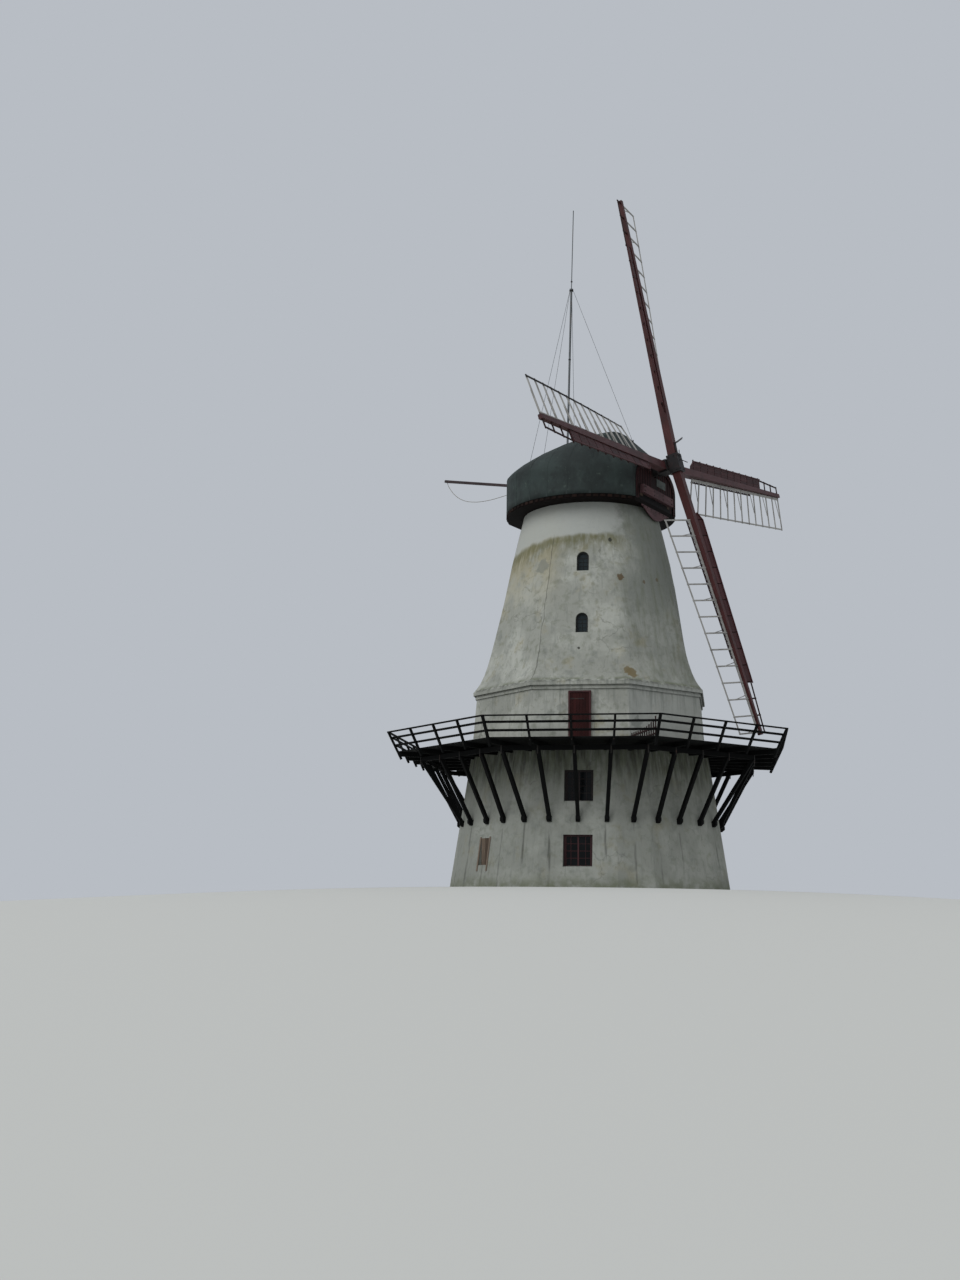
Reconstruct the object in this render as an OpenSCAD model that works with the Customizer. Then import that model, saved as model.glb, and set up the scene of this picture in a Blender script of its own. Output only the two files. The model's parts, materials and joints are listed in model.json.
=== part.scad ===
// Stone tower windmill with a walk-round gallery, a turning cap and four lattice sails.
// Millimetres, +Z up. The origin is on the tower's axis at ground level, and the front faces -Y.

/* [Lower walls] */
// Distance from the axis to the middle of a wall face at the ground
base_apothem = 6160; // [5200:20:7200]
// Distance from the axis to the middle of a wall face under the gallery
base_top_apothem = 5280; // [4900:20:6100]
// Thickness of the lower walls
base_wall = 620; // [300:10:900]
// Share of each wall corner that is cut off, as an angle at the axis
chamfer_angle = 14.6; // [2:0.2:24]
// Distance from the axis to a wall face at the gallery's floor
storey_apothem = 5140; // [4700:20:5240]
// Distance from the axis to a wall face under the cornice
storey_top_apothem = 4960; // [4500:20:5140]
// Thickness of the wall beside the gallery
storey_wall = 520; // [300:10:700]

/* [Levels] */
// Height of the first floor above the ground
first_floor_z = 2900; // [2500:10:3300]
// Height of the gallery's deck above the ground
deck_z = 6000; // [5400:10:6600]
// Height of the cornice's underside above the deck
storey_h = 2440; // [2400:10:3200]
// Height of the cornice
cornice_h = 400; // [250:10:700]
// How far the cornice stands out from the wall
cornice_out = 150; // [60:5:300]
// Height of the tower above the cornice
tower_h = 8400; // [7400:20:9400]
// Height of the lower tower floor above the cornice
low_floor_rise = 1250; // [700:10:1500]
// Height of the upper tower floor above the cornice
high_floor_rise = 4100; // [3600:10:4500]
// Thickness of every floor
floor_t = 180; // [100:5:300]
// How far a floor runs into the walls
floor_bearing = 120; // [60:5:200]
// How far the doors' sills stand above the floors inside
door_step = 30; // [10:5:60]

/* [Tower] */
// Radius of the round top of the tower
tower_top_r = 3130; // [2700:10:3400]
// How much wider the tower gets for each metre down
tower_batter = 237; // [150:1:280]
// How far the foot of the tower sweeps out above the cornice
flare_out = 330; // [0:10:420]
// Height in which the sweep dies away
flare_len = 520; // [300:10:900]
// Thickness of the tower's wall
tower_wall_t = 460; // [250:10:600]

/* [Openings] */
// Width of the windows in the lower walls
window_w = 1220; // [700:10:1500]
// Height of the windows in the lower walls
window_h = 1330; // [800:10:1500]
// Height of a lower window's sill above its floor
sill_rise = 700; // [500:10:1000]
// Width of the arched tower windows
slit_w = 540; // [350:10:800]
// Height of the arched tower windows
slit_h = 900; // [600:10:1200]
// Height of a tower window's sill above its floor
slit_sill = 930; // [600:10:1150]
// Width of the doors to the gallery
door_w = 960; // [700:10:1200]
// Height of the doors to the gallery
door_h = 2330; // [1900:10:2380]
// Width of the ground door
entrance_w = 1900; // [1400:10:2400]
// Height of the ground door
entrance_h = 2250; // [1900:10:2450]
// Width of the frames in the openings
frame_w = 75; // [50:5:120]
// Depth of the frames in the openings
frame_d = 110; // [80:5:160]
// How far the frames sit back from the wall face
frame_back = 130; // [60:5:220]
// Thickness of the glass
glass_t = 8; // [4:1:16]
// Width of the boarded hatch on the front left wall
hatch_w = 640; // [400:10:900]
// Height of the boarded hatch
hatch_h = 1150; // [700:10:1300]
// Height of the hatch's lower edge above the ground
hatch_z = 1000; // [700:10:1300]
// Thickness of door leaves and hatch boards
leaf_t = 50; // [35:5:70]
// How far the leaves sit back from the front of their frames
leaf_back = 30; // [0:5:50]
// How far the gallery doors' frames stand out from the wall
door_proud = 40; // [0:5:80]
// Depth of the glass's groove in its frame
rebate = 12; // [6:1:20]

/* [Gallery] */
// Distance from the axis to the middle of the deck's edge
deck_apothem = 8230; // [7400:10:8800]
// Height of the handrail above the deck
rail_h = 850; // [800:10:1100]
// How far the handrail leans out past the deck's edge
rail_lean = 408; // [0:4:500]
// Thickness of the deck boards
deck_t = 50; // [30:5:80]
// Width of the joists
joist_w = 120; // [80:5:180]
// Depth of the joists
joist_h = 190; // [140:5:240]
// Width of the ring beam on the struts
beam_w = 170; // [120:5:240]
// Depth of the ring beam
beam_h = 190; // [140:5:260]
// Distance from the axis to the ring beam's middle, at the middle of a side
beam_apothem = 7200; // [6700:10:7800]
// Thickness of the struts
strut_t = 150; // [120:5:240]
// Height of the struts' feet above the ground
strut_foot_z = 2980; // [2300:10:3200]
// How far the foot blocks stand out from the wall
shoe_out = 215; // [200:5:300]
// Height of the foot blocks
shoe_h = 240; // [200:10:450]
// Thickness of the railing posts
post_t = 90; // [60:5:130]
// How far the posts run down below the deck
post_drop = 360; // [260:10:560]
// Width of the handrail
handrail_w = 120; // [90:5:180]
// Thickness of the rails
rail_t = 50; // [35:5:80]
// Height of the rails' faces
rail_face = 90; // [60:5:120]
// Height of the fence across the gallery, by the wall
picket_h = 480; // [400:10:500]
// How much higher the fence is at the railing
picket_rise = 400; // [0:10:450]
// Distance between the fence's pickets
picket_step = 250; // [150:10:400]
// Width of a picket
picket_w = 110; // [60:5:140]
// Thickness of a picket
picket_t = 22; // [16:1:30]
// Width of the fence's cross rails
picket_rail_w = 40; // [30:2:60]
// Height of the fence's cross rails
picket_rail_h = 70; // [50:5:100]

/* [Cap] */
// How far the cap is turned from the front, towards the right
cap_yaw = 66.5; // [-180:0.5:180]
// How far the cap's round eaves stand out past the tower's top
cap_over = 830; // [570:10:1170]
// How far the cap's flat front is cut back from its round eaves
front_cut = 560; // [360:10:630]
// How far the cap's flat rear is cut back from its round eaves
rear_cut = 210; // [110:10:560]
// Height of the eaves above the top of the tower
eaves_rise = 140; // [120:5:300]
// Height of the ridge above the eaves
ridge_h = 3700; // [3000:10:4200]
// Distance from the axis to the start of the front hip
hip_u = 1800; // [1200:20:2400]
// How far the ridge falls towards the rear
rear_fall = 1100; // [600:20:1500]
// How far the ridge falls over the front hip
front_fall = 1550; // [1000:20:1800]
// Height of the roof's upright side at the front
shoulder_front = 950; // [600:10:1200]
// Height of the roof's upright side at the rear
shoulder_rear = 1850; // [1200:10:2200]
// Thickness of the roof's boards
roof_t = 70; // [40:5:110]
// Depth of the skirt under the eaves
skirt_h = 190; // [120:5:300]
// Thickness of the skirt's boards
skirt_t = 45; // [25:5:70]
// Length of the opening in the skirt's floor
soffit_gap = 130; // [60:10:300]
// Thickness of the boards that close the cap's ends
end_t = 50; // [30:5:80]
// How far the front boards stand back from the cap's front
front_inset = 60; // [40:5:75]
// How far the rear boards stand in from the cap's rear
rear_inset = 60; // [40:10:110]
// Depth of the apron under the cap's front
apron_h = 480; // [300:10:900]
// How far the apron's ends lie inside the roof
apron_in = 600; // [0:10:900]
// Thickness of the apron
apron_t = 40; // [25:5:45]
// Free gap between the tower and what turns on it
turn_gap = 30; // [10:1:60]
// Height of the fixed ring under the cap
curb_h = 120; // [80:5:200]
// How far the fixed ring stands in from the tower's face
curb_in = 40; // [10:5:100]
// Gap between the fixed ring and the turning ring
run_gap = 10; // [6:1:20]
// Height of the turning ring
ring_h = 200; // [140:5:260]
// Width of the turning ring
ring_w = 500; // [350:10:600]
// Depth of the cap's main timbers
timber_h = 300; // [220:10:340]
// Width of the cap's main timbers
timber_w = 240; // [160:10:300]
// Distance of the long timbers from the cap's middle line
sheer_v = 1350; // [1100:10:1500]
// Width of the cross timbers
cross_w = 300; // [200:10:360]
// Distance from the axis to the shaft's front bearing
neck_u = 2850; // [2500:10:3000]
// Half the length of the front bearing's block
neck_half = 450; // [330:10:700]
// Distance behind the axis to the shaft's rear bearing
tail_back = 2300; // [1900:10:2500]
// Gap between the front boards and the beams ahead of them
beam_gap = 10; // [5:1:60]
// Depth of the front beams from front to back
beam_deep = 190; // [150:10:320]
// Height of each front beam
front_beam_h = 190; // [140:5:200]
// Half length of the front beams
front_beam_half = 1500; // [1480:10:1700]
// Height of the mast above the eaves
mast_h = 15700; // [12000:50:17000]
// Height of the collar that the stays hold, above the ridge
collar_h = 8210; // [5000:10:9500]
// Diameter of the stays
stay_d = 18; // [10:1:30]
// Diameter of the mast's lower length
mast_d = 100; // [60:2:140]
// Distance of the mast behind the axis
mast_back = 1270; // [600:10:1800]
// Lean of the mast towards the front, in degrees
mast_lean = 1.5; // [0:0.1:3]
// Distance of the rear stay's foot from the cap's rear
rear_stay_in = 250; // [150:10:600]
// Distance of the front stay's foot from the cap's front
front_stay_in = 1150; // [700:10:1600]
// Distance of the side stays' feet from the cap's middle line
side_stay_v = 1500; // [1000:10:2200]
// How far the side stays' feet lie behind the mast
side_stay_back = 430; // [0:10:800]
// Length of the lever behind the cap
lever_len = 4700; // [3000:50:5200]
// Length of the lever inside the cap
lever_in = 450; // [200:10:900]
// Thickness of the lever
lever_t = 120; // [80:5:160]
// Height of the lever's inner end above the eaves
lever_at = 1930; // [1600:10:2100]
// Slope of the lever, in degrees
lever_slope = 11.9; // [6:0.1:14]

/* [Sails] */
// Length of a sail from the hub's middle to its tip
sail_len = 12900; // [9000:20:13200]
// How far the sails are turned in the picture's pose
sail_turn = 7.5; // [-180:0.1:180]
// Tilt of the windshaft above level
shaft_tilt = 11.3; // [4:0.1:15]
// Distance from the cap's front to the sails' crossing, along the ground
hub_ahead = 750; // [650:10:1600]
// Height of the sails' crossing above the eaves
hub_rise = 1815; // [1700:5:2100]
// Diameter of the windshaft
shaft_d = 460; // [300:10:560]
// Diameter of the windshaft's thin tail
journal_d = 206; // [140:2:260]
// Free gap round the windshaft in its bearings
bore_gap = 8; // [6:1:14]
// Free gap round the windshaft in the front boards
boards_gap = 45; // [20:5:80]
// Distance between the middles of the two stocks, along the shaft
stock_gap = 500; // [460:10:640]
// Wall of the sockets that hold the stocks
hub_shell = 85; // [50:5:120]
// Half the length of a socket
hub_half = 430; // [340:10:600]
// Length of the hub's collar behind its sockets
collar_len = 115; // [60:5:200]
// How much thicker the collar is than the shaft
collar_more = 160; // [80:10:240]
// Distance from the hub's middle to the end of the strap on the stock
strap_end = 960; // [700:10:1200]
// Length of the prongs ahead of the hub
prong_len = 430; // [200:10:600]
// Diameter of the prongs
prong_d = 36; // [24:2:50]
// Width and depth of a stock at the hub
stock_root = 380; // [280:10:440]
// Width and depth of a stock at its tip
stock_tip = 190; // [140:10:260]
// How far the arms lean forward outside the hub, in degrees
arm_lean = 3; // [0:0.25:5]
// Distance from the hub to the first sail bar
first_bar = 2750; // [2200:10:3200]
// Number of bars in a sail
bars = 14; // [10:1:18]
// Width of a sail bar
bar_w = 60; // [40:5:80]
// Thickness of a sail bar
bar_t = 45; // [30:5:60]
// Reach of the lattice behind the stock
lattice_reach = 1860; // [1300:10:2100]
// Gap between the stock and the lattice's inner lath
lath_gap = 15; // [10:5:60]
// Width of the lattice's inner lath
inner_lath_w = 120; // [80:5:160]
// Reach of the boards ahead of the stock
board_reach = 650; // [500:10:1000]
// Distance from the hub to the end of the boards
board_end = 10540; // [7000:10:11500]
// Distance from the hub to the start of the boards
board_start = 2400; // [1500:10:2600]
// Reach of the boards at their slanted start
board_root = 380; // [300:10:600]
// Thickness of the boards
board_t = 26; // [18:1:40]
// Gap between the boards and the stock
board_gap = 10; // [10:5:80]
// Reach ahead of the stock at the tip
tip_reach = 490; // [250:10:600]
// Width of the lattice's outer laths
lath_w = 70; // [50:5:90]
// Distance from the last bar to the stock's end
last_bar = 120; // [80:5:200]
// How far the bars stand out past the laths
bar_over = 20; // [10:2:40]
// Set of the sails at their root, in degrees
set_root = 19; // [10:0.5:30]
// Set of the sails at their tip, in degrees
set_tip = 7; // [0:0.5:12]

/* [Hidden] */

// Heights that follow from the levels
base_h = deck_z - deck_t;
storey_floor_z = deck_z - door_step;
entrance_z = floor_t + door_step;
cornice_z = deck_z + storey_h;
tower_z = cornice_z + cornice_h;
tower_top_z = tower_z + tower_h;
eaves_z = tower_top_z + eaves_rise;
hub_z = eaves_z + hub_rise;
low_floor_z = tower_z + low_floor_rise;
high_floor_z = tower_z + high_floor_rise;
joist_z = base_h - joist_h;
beam_z = joist_z - beam_h;

// Angles and ratios of an eight-sided plan
side_angle = 45;
half_side = side_angle / 2;
to_corner = 1 / cos(half_side);
chamfer_half = chamfer_angle / 2;
face_half = half_side - chamfer_half;
chamfer_ratio = cos(chamfer_half) / cos(face_half);
far = 30000;
cut_over = 40;
seat_gap = 0.5;
bays = 4;
window_sides = [0, 2, 4, 6];
gallery_door_sides = [0, 4, 6];
ground_window_sides = [0, 2, 6];
entrance_side = 4;
hatch_side = 7;

// Distance from the axis to a lower wall's face at height z
function base_face(z) = base_apothem - (base_apothem - base_top_apothem) * z / base_h;
// Distance from the axis to the storey wall's face at height z
function storey_face(z) =
  storey_apothem - (storey_apothem - storey_top_apothem) * (z - base_h) / (cornice_z - base_h);
// How round the tower is at height h above its foot, from 0 to 1
function roundness(h) = let(s = max(0, min(1, (h - 0.12 * tower_h) / (0.68 * tower_h)))) s * s * (3 - 2 * s);
// Corner radius of the tower's straight batter at height h above its foot
function batter_r(h) = tower_top_r + tower_batter * (tower_h - h) / 1000;
// Share of the corner radius that is left at angle a from the middle of a side
function plan_share(a, h) = roundness(h) + (1 - roundness(h)) * cos(half_side) / cos(a);
// Angle from the middle of the nearest side
function off_side(a) = abs(((a + half_side + 4 * side_angle * 8) % side_angle) - half_side);
function tower_r(a, h) = (batter_r(h) + flare_out * exp(-h / flare_len)) * plan_share(off_side(a), h);
function tower_inner_r(h) = batter_r(h) * plan_share(0, h) - tower_wall_t;
// A point at azimuth a, counted from the front towards the right
function on_plan(r, a) = [r * sin(a), -r * cos(a)];
function flat(points) = [for (ring = points) for (p = ring) p];

// Steps of the tower's and the roof's curves
round_steps = 24;
rise_steps = 12;
arch_steps = 16;
cap_steps = 20;
cap_r = tower_top_r + cap_over;
cap_front = cap_r - front_cut;
cap_rear = cap_r - rear_cut;
hub_out = cap_front + hub_ahead;

// Heights and radii of the cap's frame, from the turning ring upwards
ring_z = tower_top_z + curb_h + run_gap;
ring_r = tower_top_r - curb_in;
sheer_z = ring_z + ring_h;
sheer_top = sheer_z + timber_h;
skirt_z = eaves_z - skirt_h;
beam_u = cap_front - front_inset + beam_gap;
soffit_r = batter_r(skirt_z - tower_z) + turn_gap;
function shaft_z(u) = hub_z - (hub_out - u) * tan(shaft_tilt);

// Places along the windshaft, counted back from the hub's middle
hub_front = (stock_gap + stock_root) / 2 + hub_shell;
hub_back = hub_front + collar_len;
journal_len = cross_w * 1.6;
journal_x = (hub_out + tail_back + cross_w / 2) / cos(shaft_tilt) - journal_len;

module at_side(k) { rotate([0, 0, side_angle * k]) children(); }

// Wedge between two azimuths, from the axis outwards
module wedge(a0, a1, z0, z1) {
  middle = (a0 + a1) / 2;
  translate([0, 0, z0]) linear_extrude(z1 - z0)
    polygon([[0, 0], on_plan(far, a0), on_plan(far, middle), on_plan(far, a1)]);
}

// Eight-sided block with its faces apothem a from the axis
module octagon(a, z0, z1) {
  translate([0, 0, z0]) rotate([0, 0, half_side]) cylinder(h = z1 - z0, r = a * to_corner, $fn = 8);
}

// Eight-sided block whose faces lean from apothem a0 to a1
module leaning_octagon(a0, a1, z0, z1) {
  translate([0, 0, z0]) linear_extrude(z1 - z0, scale = a1 / a0)
    rotate(half_side) circle(r = a0 * to_corner, $fn = 8);
}

// Lower tower form with cut corners, moved in by inset
module base_form(inset = 0, over = 0) {
  lean = (base_apothem - base_top_apothem) / base_h;
  a0 = base_apothem + lean * over - inset;
  a1 = base_top_apothem - lean * over - inset;
  translate([0, 0, -over]) linear_extrude(base_h + 2 * over, scale = a1 / a0)
    polygon([for (k = [0 : 7], s = [-1, 1]) on_plan(a0 / cos(face_half), k * side_angle + s * face_half)]);
}

module storey_form() { leaning_octagon(storey_apothem, storey_top_apothem, base_h, cornice_z); }

// Two mouldings, a hollow between them and a sloped top
module cornice_form() {
  face = storey_top_apothem;
  foot = tower_r(0, 0);
  octagon(face + cornice_out * 0.4, cornice_z, cornice_z + cornice_h * 0.25);
  octagon(face + cornice_out * 0.2, cornice_z, cornice_z + cornice_h * 0.42);
  octagon(face + cornice_out, cornice_z + cornice_h * 0.42, cornice_z + cornice_h * 0.8);
  leaning_octagon(face + cornice_out * 0.9, foot, cornice_z + cornice_h * 0.8, tower_z);
}

module storey_void() {
  a = storey_top_apothem - storey_wall;
  octagon(a, base_h - cut_over, tower_z + cut_over);
}

// Upright opening with a half-round head
module arch(w, h) {
  head = [for (a = [0 : 15 : 180]) [w / 2 * cos(a), h - w / 2 + w / 2 * sin(a)]];
  polygon(concat([[-w / 2, 0], [w / 2, 0]], head));
}

// Levels of the two rows of tower windows
slit_levels = [low_floor_z + slit_sill, high_floor_z + slit_sill];

// Cuts a flat shape through the front wall, from y0 to y1 ahead of the axis
module wall_cut(y0, y1) {
  translate([0, -y1, 0]) rotate([-90, 0, 0]) mirror([0, 1, 0]) linear_extrude(y1 - y0) children();
}

module openings() {
  outer = base_apothem + cut_over;
  inner = (storey_top_apothem - storey_wall) * 0.85;
  for (k = ground_window_sides) at_side(k) wall_cut(inner, outer)
    translate([-window_w / 2, sill_rise + floor_t]) square([window_w, window_h]);
  for (k = window_sides) at_side(k) wall_cut(inner, outer)
    translate([-window_w / 2, first_floor_z + sill_rise]) square([window_w, window_h]);
  for (k = gallery_door_sides) at_side(k) wall_cut(inner, outer)
    translate([-door_w / 2, deck_z]) square([door_w, door_h]);
  at_side(entrance_side) wall_cut(inner, outer)
    translate([-entrance_w / 2, entrance_z]) square([entrance_w, entrance_h]);
  at_side(hatch_side) wall_cut(inner, outer)
    translate([-hatch_w / 2, hatch_z]) square([hatch_w, hatch_h]);
}

module slits(sides) {
  outer = batter_r(0) + cut_over;
  inner = tower_inner_r(tower_h) * 0.85;
  for (k = sides, z = slit_levels) at_side(k) wall_cut(inner, outer)
    translate([0, z]) arch(slit_w, slit_h);
}

module ground_floor_form() { octagon(base_face(0) - base_wall + floor_bearing, 0, floor_t); }

// Floors of the first storey and of the storey beside the gallery
module storey_floor_form() {
  octagon(base_face(first_floor_z) - base_wall + floor_bearing, first_floor_z - floor_t, first_floor_z);
  octagon(storey_top_apothem - storey_wall + floor_bearing * 2, storey_floor_z - floor_t, storey_floor_z);
}

// Floors of the tower, with as many edges as the walls have steps
module tower_floor_form() {
  for (rise = [low_floor_rise, high_floor_rise]) translate([0, 0, tower_z + rise - floor_t])
    linear_extrude(floor_t) polygon([for (j = [1 : 4 * round_steps])
      on_plan(tower_inner_r(rise) + floor_bearing, j * 90 / round_steps - half_side)]);
}

module ground_floor() { color("tan") ground_floor_form(); }

module upper_floors() {
  color("burlywood") {
    storey_floor_form();
    tower_floor_form();
  }
}

// A quarter of the lower walls, with its ends between a corner and the middle of a side
module lower_wall(quarter) {
  a0 = quarter * 90 - half_side * 1.6;
  color("whitesmoke") difference() {
    intersection() {
      union() {
        base_form();
        storey_form();
        cornice_form();
      }
      wedge(a0, a0 + 90, 0, tower_z);
    }
    base_form(base_wall, cut_over);
    storey_void();
    ground_floor_form();
    storey_floor_form();
    openings();
  }
}

module lower_wall_front() { lower_wall(0); }
module lower_wall_right() { lower_wall(1); }
module lower_wall_back() { lower_wall(2); }
module lower_wall_left() { lower_wall(3); }

// A quarter of the tower: eight-sided and swept out at its foot, round at its top
module tower_wall(quarter) {
  a0 = -half_side;
  heights = [for (i = [0 : rise_steps]) tower_h * pow(i / rise_steps, 1.8)];
  angles = [for (j = [0 : round_steps]) a0 + j * 90 / round_steps];
  outer = [for (h = heights) [for (a = angles) concat(on_plan(tower_r(a, h), a), [tower_z + h])]];
  inner = [for (h = heights) [for (a = angles) concat(on_plan(tower_inner_r(h), a), [tower_z + h])]];
  across = round_steps + 1;
  layer = across * (rise_steps + 1);
  function o(i, j) = i * across + j;
  function n(i, j) = layer + i * across + j;
  top = rise_steps;
  end = round_steps;
  faces = concat(
    [for (i = [0 : top - 1], j = [0 : end - 1]) each
      [[o(i, j), o(i + 1, j), o(i + 1, j + 1)], [o(i, j), o(i + 1, j + 1), o(i, j + 1)],
       [n(i, j), n(i + 1, j + 1), n(i + 1, j)], [n(i, j), n(i, j + 1), n(i + 1, j + 1)]]],
    [for (j = [0 : end - 1]) each
      [[o(0, j), o(0, j + 1), n(0, j + 1)], [o(0, j), n(0, j + 1), n(0, j)],
       [o(top, j), n(top, j + 1), o(top, j + 1)], [o(top, j), n(top, j), n(top, j + 1)]]],
    [for (i = [0 : top - 1]) each
      [[o(i, 0), n(i, 0), n(i + 1, 0)], [o(i, 0), n(i + 1, 0), o(i + 1, 0)],
       [o(i, end), n(i + 1, end), n(i, end)], [o(i, end), o(i + 1, end), n(i + 1, end)]]]);
  color("whitesmoke") at_side(2 * quarter) difference() {
    polyhedron(concat(flat(outer), flat(inner)), faces, convexity = 6);
    slits([0]);
    tower_floor_form();
  }
}

module tower_wall_front() { tower_wall(0); }
module tower_wall_right() { tower_wall(1); }
module tower_wall_back() { tower_wall(2); }
module tower_wall_left() { tower_wall(3); }

// One rectangular frame, standing on the origin, with a rebate for its glass
module frame_piece(w, h) {
  translate([0, frame_d / 2, 0]) rotate([90, 0, 0]) linear_extrude(frame_d) difference() {
    translate([-w / 2, 0]) square([w, h]);
    translate([-w / 2 + frame_w, frame_w]) square([w - 2 * frame_w, h - 2 * frame_w]);
  }
}

module glass_piece(w, h) {
  lap = frame_w - rebate;
  translate([-w / 2 + lap, -glass_t / 2, lap]) cube([w - 2 * lap, glass_t, h - 2 * lap]);
}

module arch_frame_piece() {
  translate([0, frame_d / 2, 0]) rotate([90, 0, 0]) linear_extrude(frame_d) difference() {
    arch(slit_w, slit_h);
    translate([0, frame_w]) arch(slit_w - 2 * frame_w, slit_h - 2 * frame_w);
  }
}

module arch_glass_piece() {
  lap = frame_w - rebate;
  translate([0, glass_t / 2, lap]) rotate([90, 0, 0]) linear_extrude(glass_t)
    arch(slit_w - 2 * lap, slit_h - 2 * lap);
}

// Places its children in each lower window, set back from the wall's face
module each_lower_window() {
  ground_z = sill_rise + floor_t;
  first_z = first_floor_z + sill_rise;
  for (k = ground_window_sides) at_side(k)
    translate([0, -(base_face(ground_z + window_h) - frame_back - frame_d / 2), ground_z]) children();
  for (k = window_sides) at_side(k)
    translate([0, -(base_face(first_z + window_h) - frame_back - frame_d / 2), first_z]) children();
}

module each_tower_window() {
  for (k = window_sides, z = slit_levels) at_side(k)
    translate([0, -(tower_r(0, z + slit_h - tower_z) - frame_back - frame_d / 2), z]) children();
}

module lower_window_frames() {
  color("darkslategray") difference() {
    each_lower_window() frame_piece(window_w, window_h);
    each_lower_window() glass_piece(window_w, window_h);
  }
}

module tower_window_frames() {
  color("darkslategray") difference() {
    each_tower_window() arch_frame_piece();
    each_tower_window() arch_glass_piece();
  }
}

module window_glass() {
  color("lightsteelblue") {
    each_lower_window() glass_piece(window_w, window_h);
    each_tower_window() arch_glass_piece();
  }
}

// Three-sided frame and the leaf in it, with the frame's front at y = 0
module door_frame_piece(w, h, d) {
  translate([0, d, 0]) rotate([90, 0, 0]) linear_extrude(d) difference() {
    translate([-w / 2, 0]) square([w, h]);
    translate([-w / 2 + frame_w, -1]) square([w - 2 * frame_w, h - frame_w + 1]);
  }
}

module leaf_piece(w, h) {
  translate([-w / 2 + frame_w, leaf_back, 0]) cube([w - 2 * frame_w, leaf_t, h - frame_w]);
}

// Upright frames, deep enough to stay in the leaning wall up to their heads
lining_d = door_proud + frame_d + storey_face(deck_z) - storey_face(deck_z + door_h);
module each_gallery_door() {
  for (k = gallery_door_sides) at_side(k)
    translate([0, -storey_face(deck_z) - door_proud, deck_z]) children();
}

module at_entrance() {
  at_side(entrance_side)
    translate([0, frame_back - base_face(entrance_z + entrance_h), entrance_z]) children();
}

module door_frames() {
  color("maroon") {
    each_gallery_door() door_frame_piece(door_w, door_h, lining_d);
    at_entrance() door_frame_piece(entrance_w, entrance_h, frame_d);
  }
}

module gallery_doors() {
  color("maroon") each_gallery_door() leaf_piece(door_w, door_h);
}

module ground_door() {
  color("maroon") at_entrance() leaf_piece(entrance_w, entrance_h);
}

module wall_hatch() {
  color("saddlebrown") at_side(hatch_side)
    translate([-hatch_w / 2, -base_face(hatch_z + hatch_h), hatch_z]) cube([hatch_w, leaf_t, hatch_h]);
}

// Slope of the railing, and the distance to its plane at height z
lean_slope = rail_lean / rail_h;
lean_angle = atan(lean_slope);
function rail_face_at(z) = deck_apothem + lean_slope * (z - deck_z);
// Azimuth of the joist i bays from a side's left corner, from the side's middle
function bay_angle(i) = atan((i / bays - 0.5) * 2 * tan(half_side));
// Distance to the lower wall's face along an azimuth off the side's middle
function wall_reach(a, z) = let(f = base_face(z), off = abs(a))
  off <= face_half ? f / cos(off) : f * chamfer_ratio / cos(half_side - off);

module each_bay(sides) {
  for (k = sides, i = [0 : bays - 1]) rotate([0, 0, k * side_angle + bay_angle(i)]) {
    $bay = bay_angle(i);
    children();
  }
}

module gallery_deck() {
  color("dimgray") difference() {
    octagon(rail_face_at(base_h), base_h, deck_z);
    octagon(storey_apothem, base_h - cut_over, deck_z + cut_over);
  }
}

// Everything inside the plane of the railing, moved out by over
module inside_railing(z0, z1, over = 0) {
  leaning_octagon(rail_face_at(z0) + over, rail_face_at(z1) + over, z0, z1);
}

module gallery_joists() {
  inner = base_top_apothem - base_wall / 2;
  color("black") intersection() {
    difference() {
      each_bay([0 : 7]) translate([-joist_w / 2, -far / 3, joist_z + seat_gap])
        cube([joist_w, far / 3 - inner, joist_h - 2 * seat_gap]);
      base_form(-seat_gap);
    }
    inside_railing(joist_z - cut_over, deck_z);
  }
}

module ring_beam() {
  color("black") difference() {
    octagon(beam_apothem + beam_w / 2, beam_z, joist_z);
    octagon(beam_apothem - beam_w / 2, beam_z - cut_over, joist_z + cut_over);
  }
}

// Feet on their blocks, heads under the ring beam
strut_stand = max(shoe_out / 2, strut_t * 0.6);
shoe_reach = max(shoe_out, strut_stand + strut_t * 0.6);
module struts(sides) {
  rise = beam_z - seat_gap - strut_foot_z;
  each_bay(sides) {
    foot = wall_reach($bay, strut_foot_z) + strut_stand;
    head = beam_apothem / cos($bay);
    slant = atan((head - foot) / rise);
    long = rise / cos(slant);
    intersection() {
      translate([0, -foot, strut_foot_z]) rotate([slant, 0, 0])
        translate([-strut_t / 2, -strut_t / 2, -strut_t]) cube([strut_t, strut_t, long + 2 * strut_t]);
      translate([-strut_t, -far / 3, strut_foot_z]) cube([2 * strut_t, far / 3, rise]);
    }
  }
}

module clear_struts(sides) {
  difference() {
    struts(sides);
    base_form(-seat_gap);
  }
}

module front_struts() { color("black") clear_struts([6, 7, 0, 1]); }
module back_struts() { color("black") clear_struts([2, 3, 4, 5]); }

// Blocks on the wall under the struts, tapered below
module strut_shoes() {
  back = -base_wall / 3;
  wide = strut_t * 1.2;
  profile = [[back, 0], [shoe_reach, 0], [shoe_reach, -shoe_h * 0.6],
    [shoe_reach * 0.45, -shoe_h], [back, -shoe_h]];
  color("black") difference() {
    each_bay([0 : 7]) translate([wide / 2, -wall_reach($bay, strut_foot_z), strut_foot_z])
      rotate([90, 0, -90]) linear_extrude(wide) polygon(profile);
    base_form();
  }
}

post_top_z = deck_z + rail_h - rail_t;
module below(z) {
  intersection() {
    children();
    translate([-far / 2, -far / 2, 0]) cube([far, far, z]);
  }
}

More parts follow.
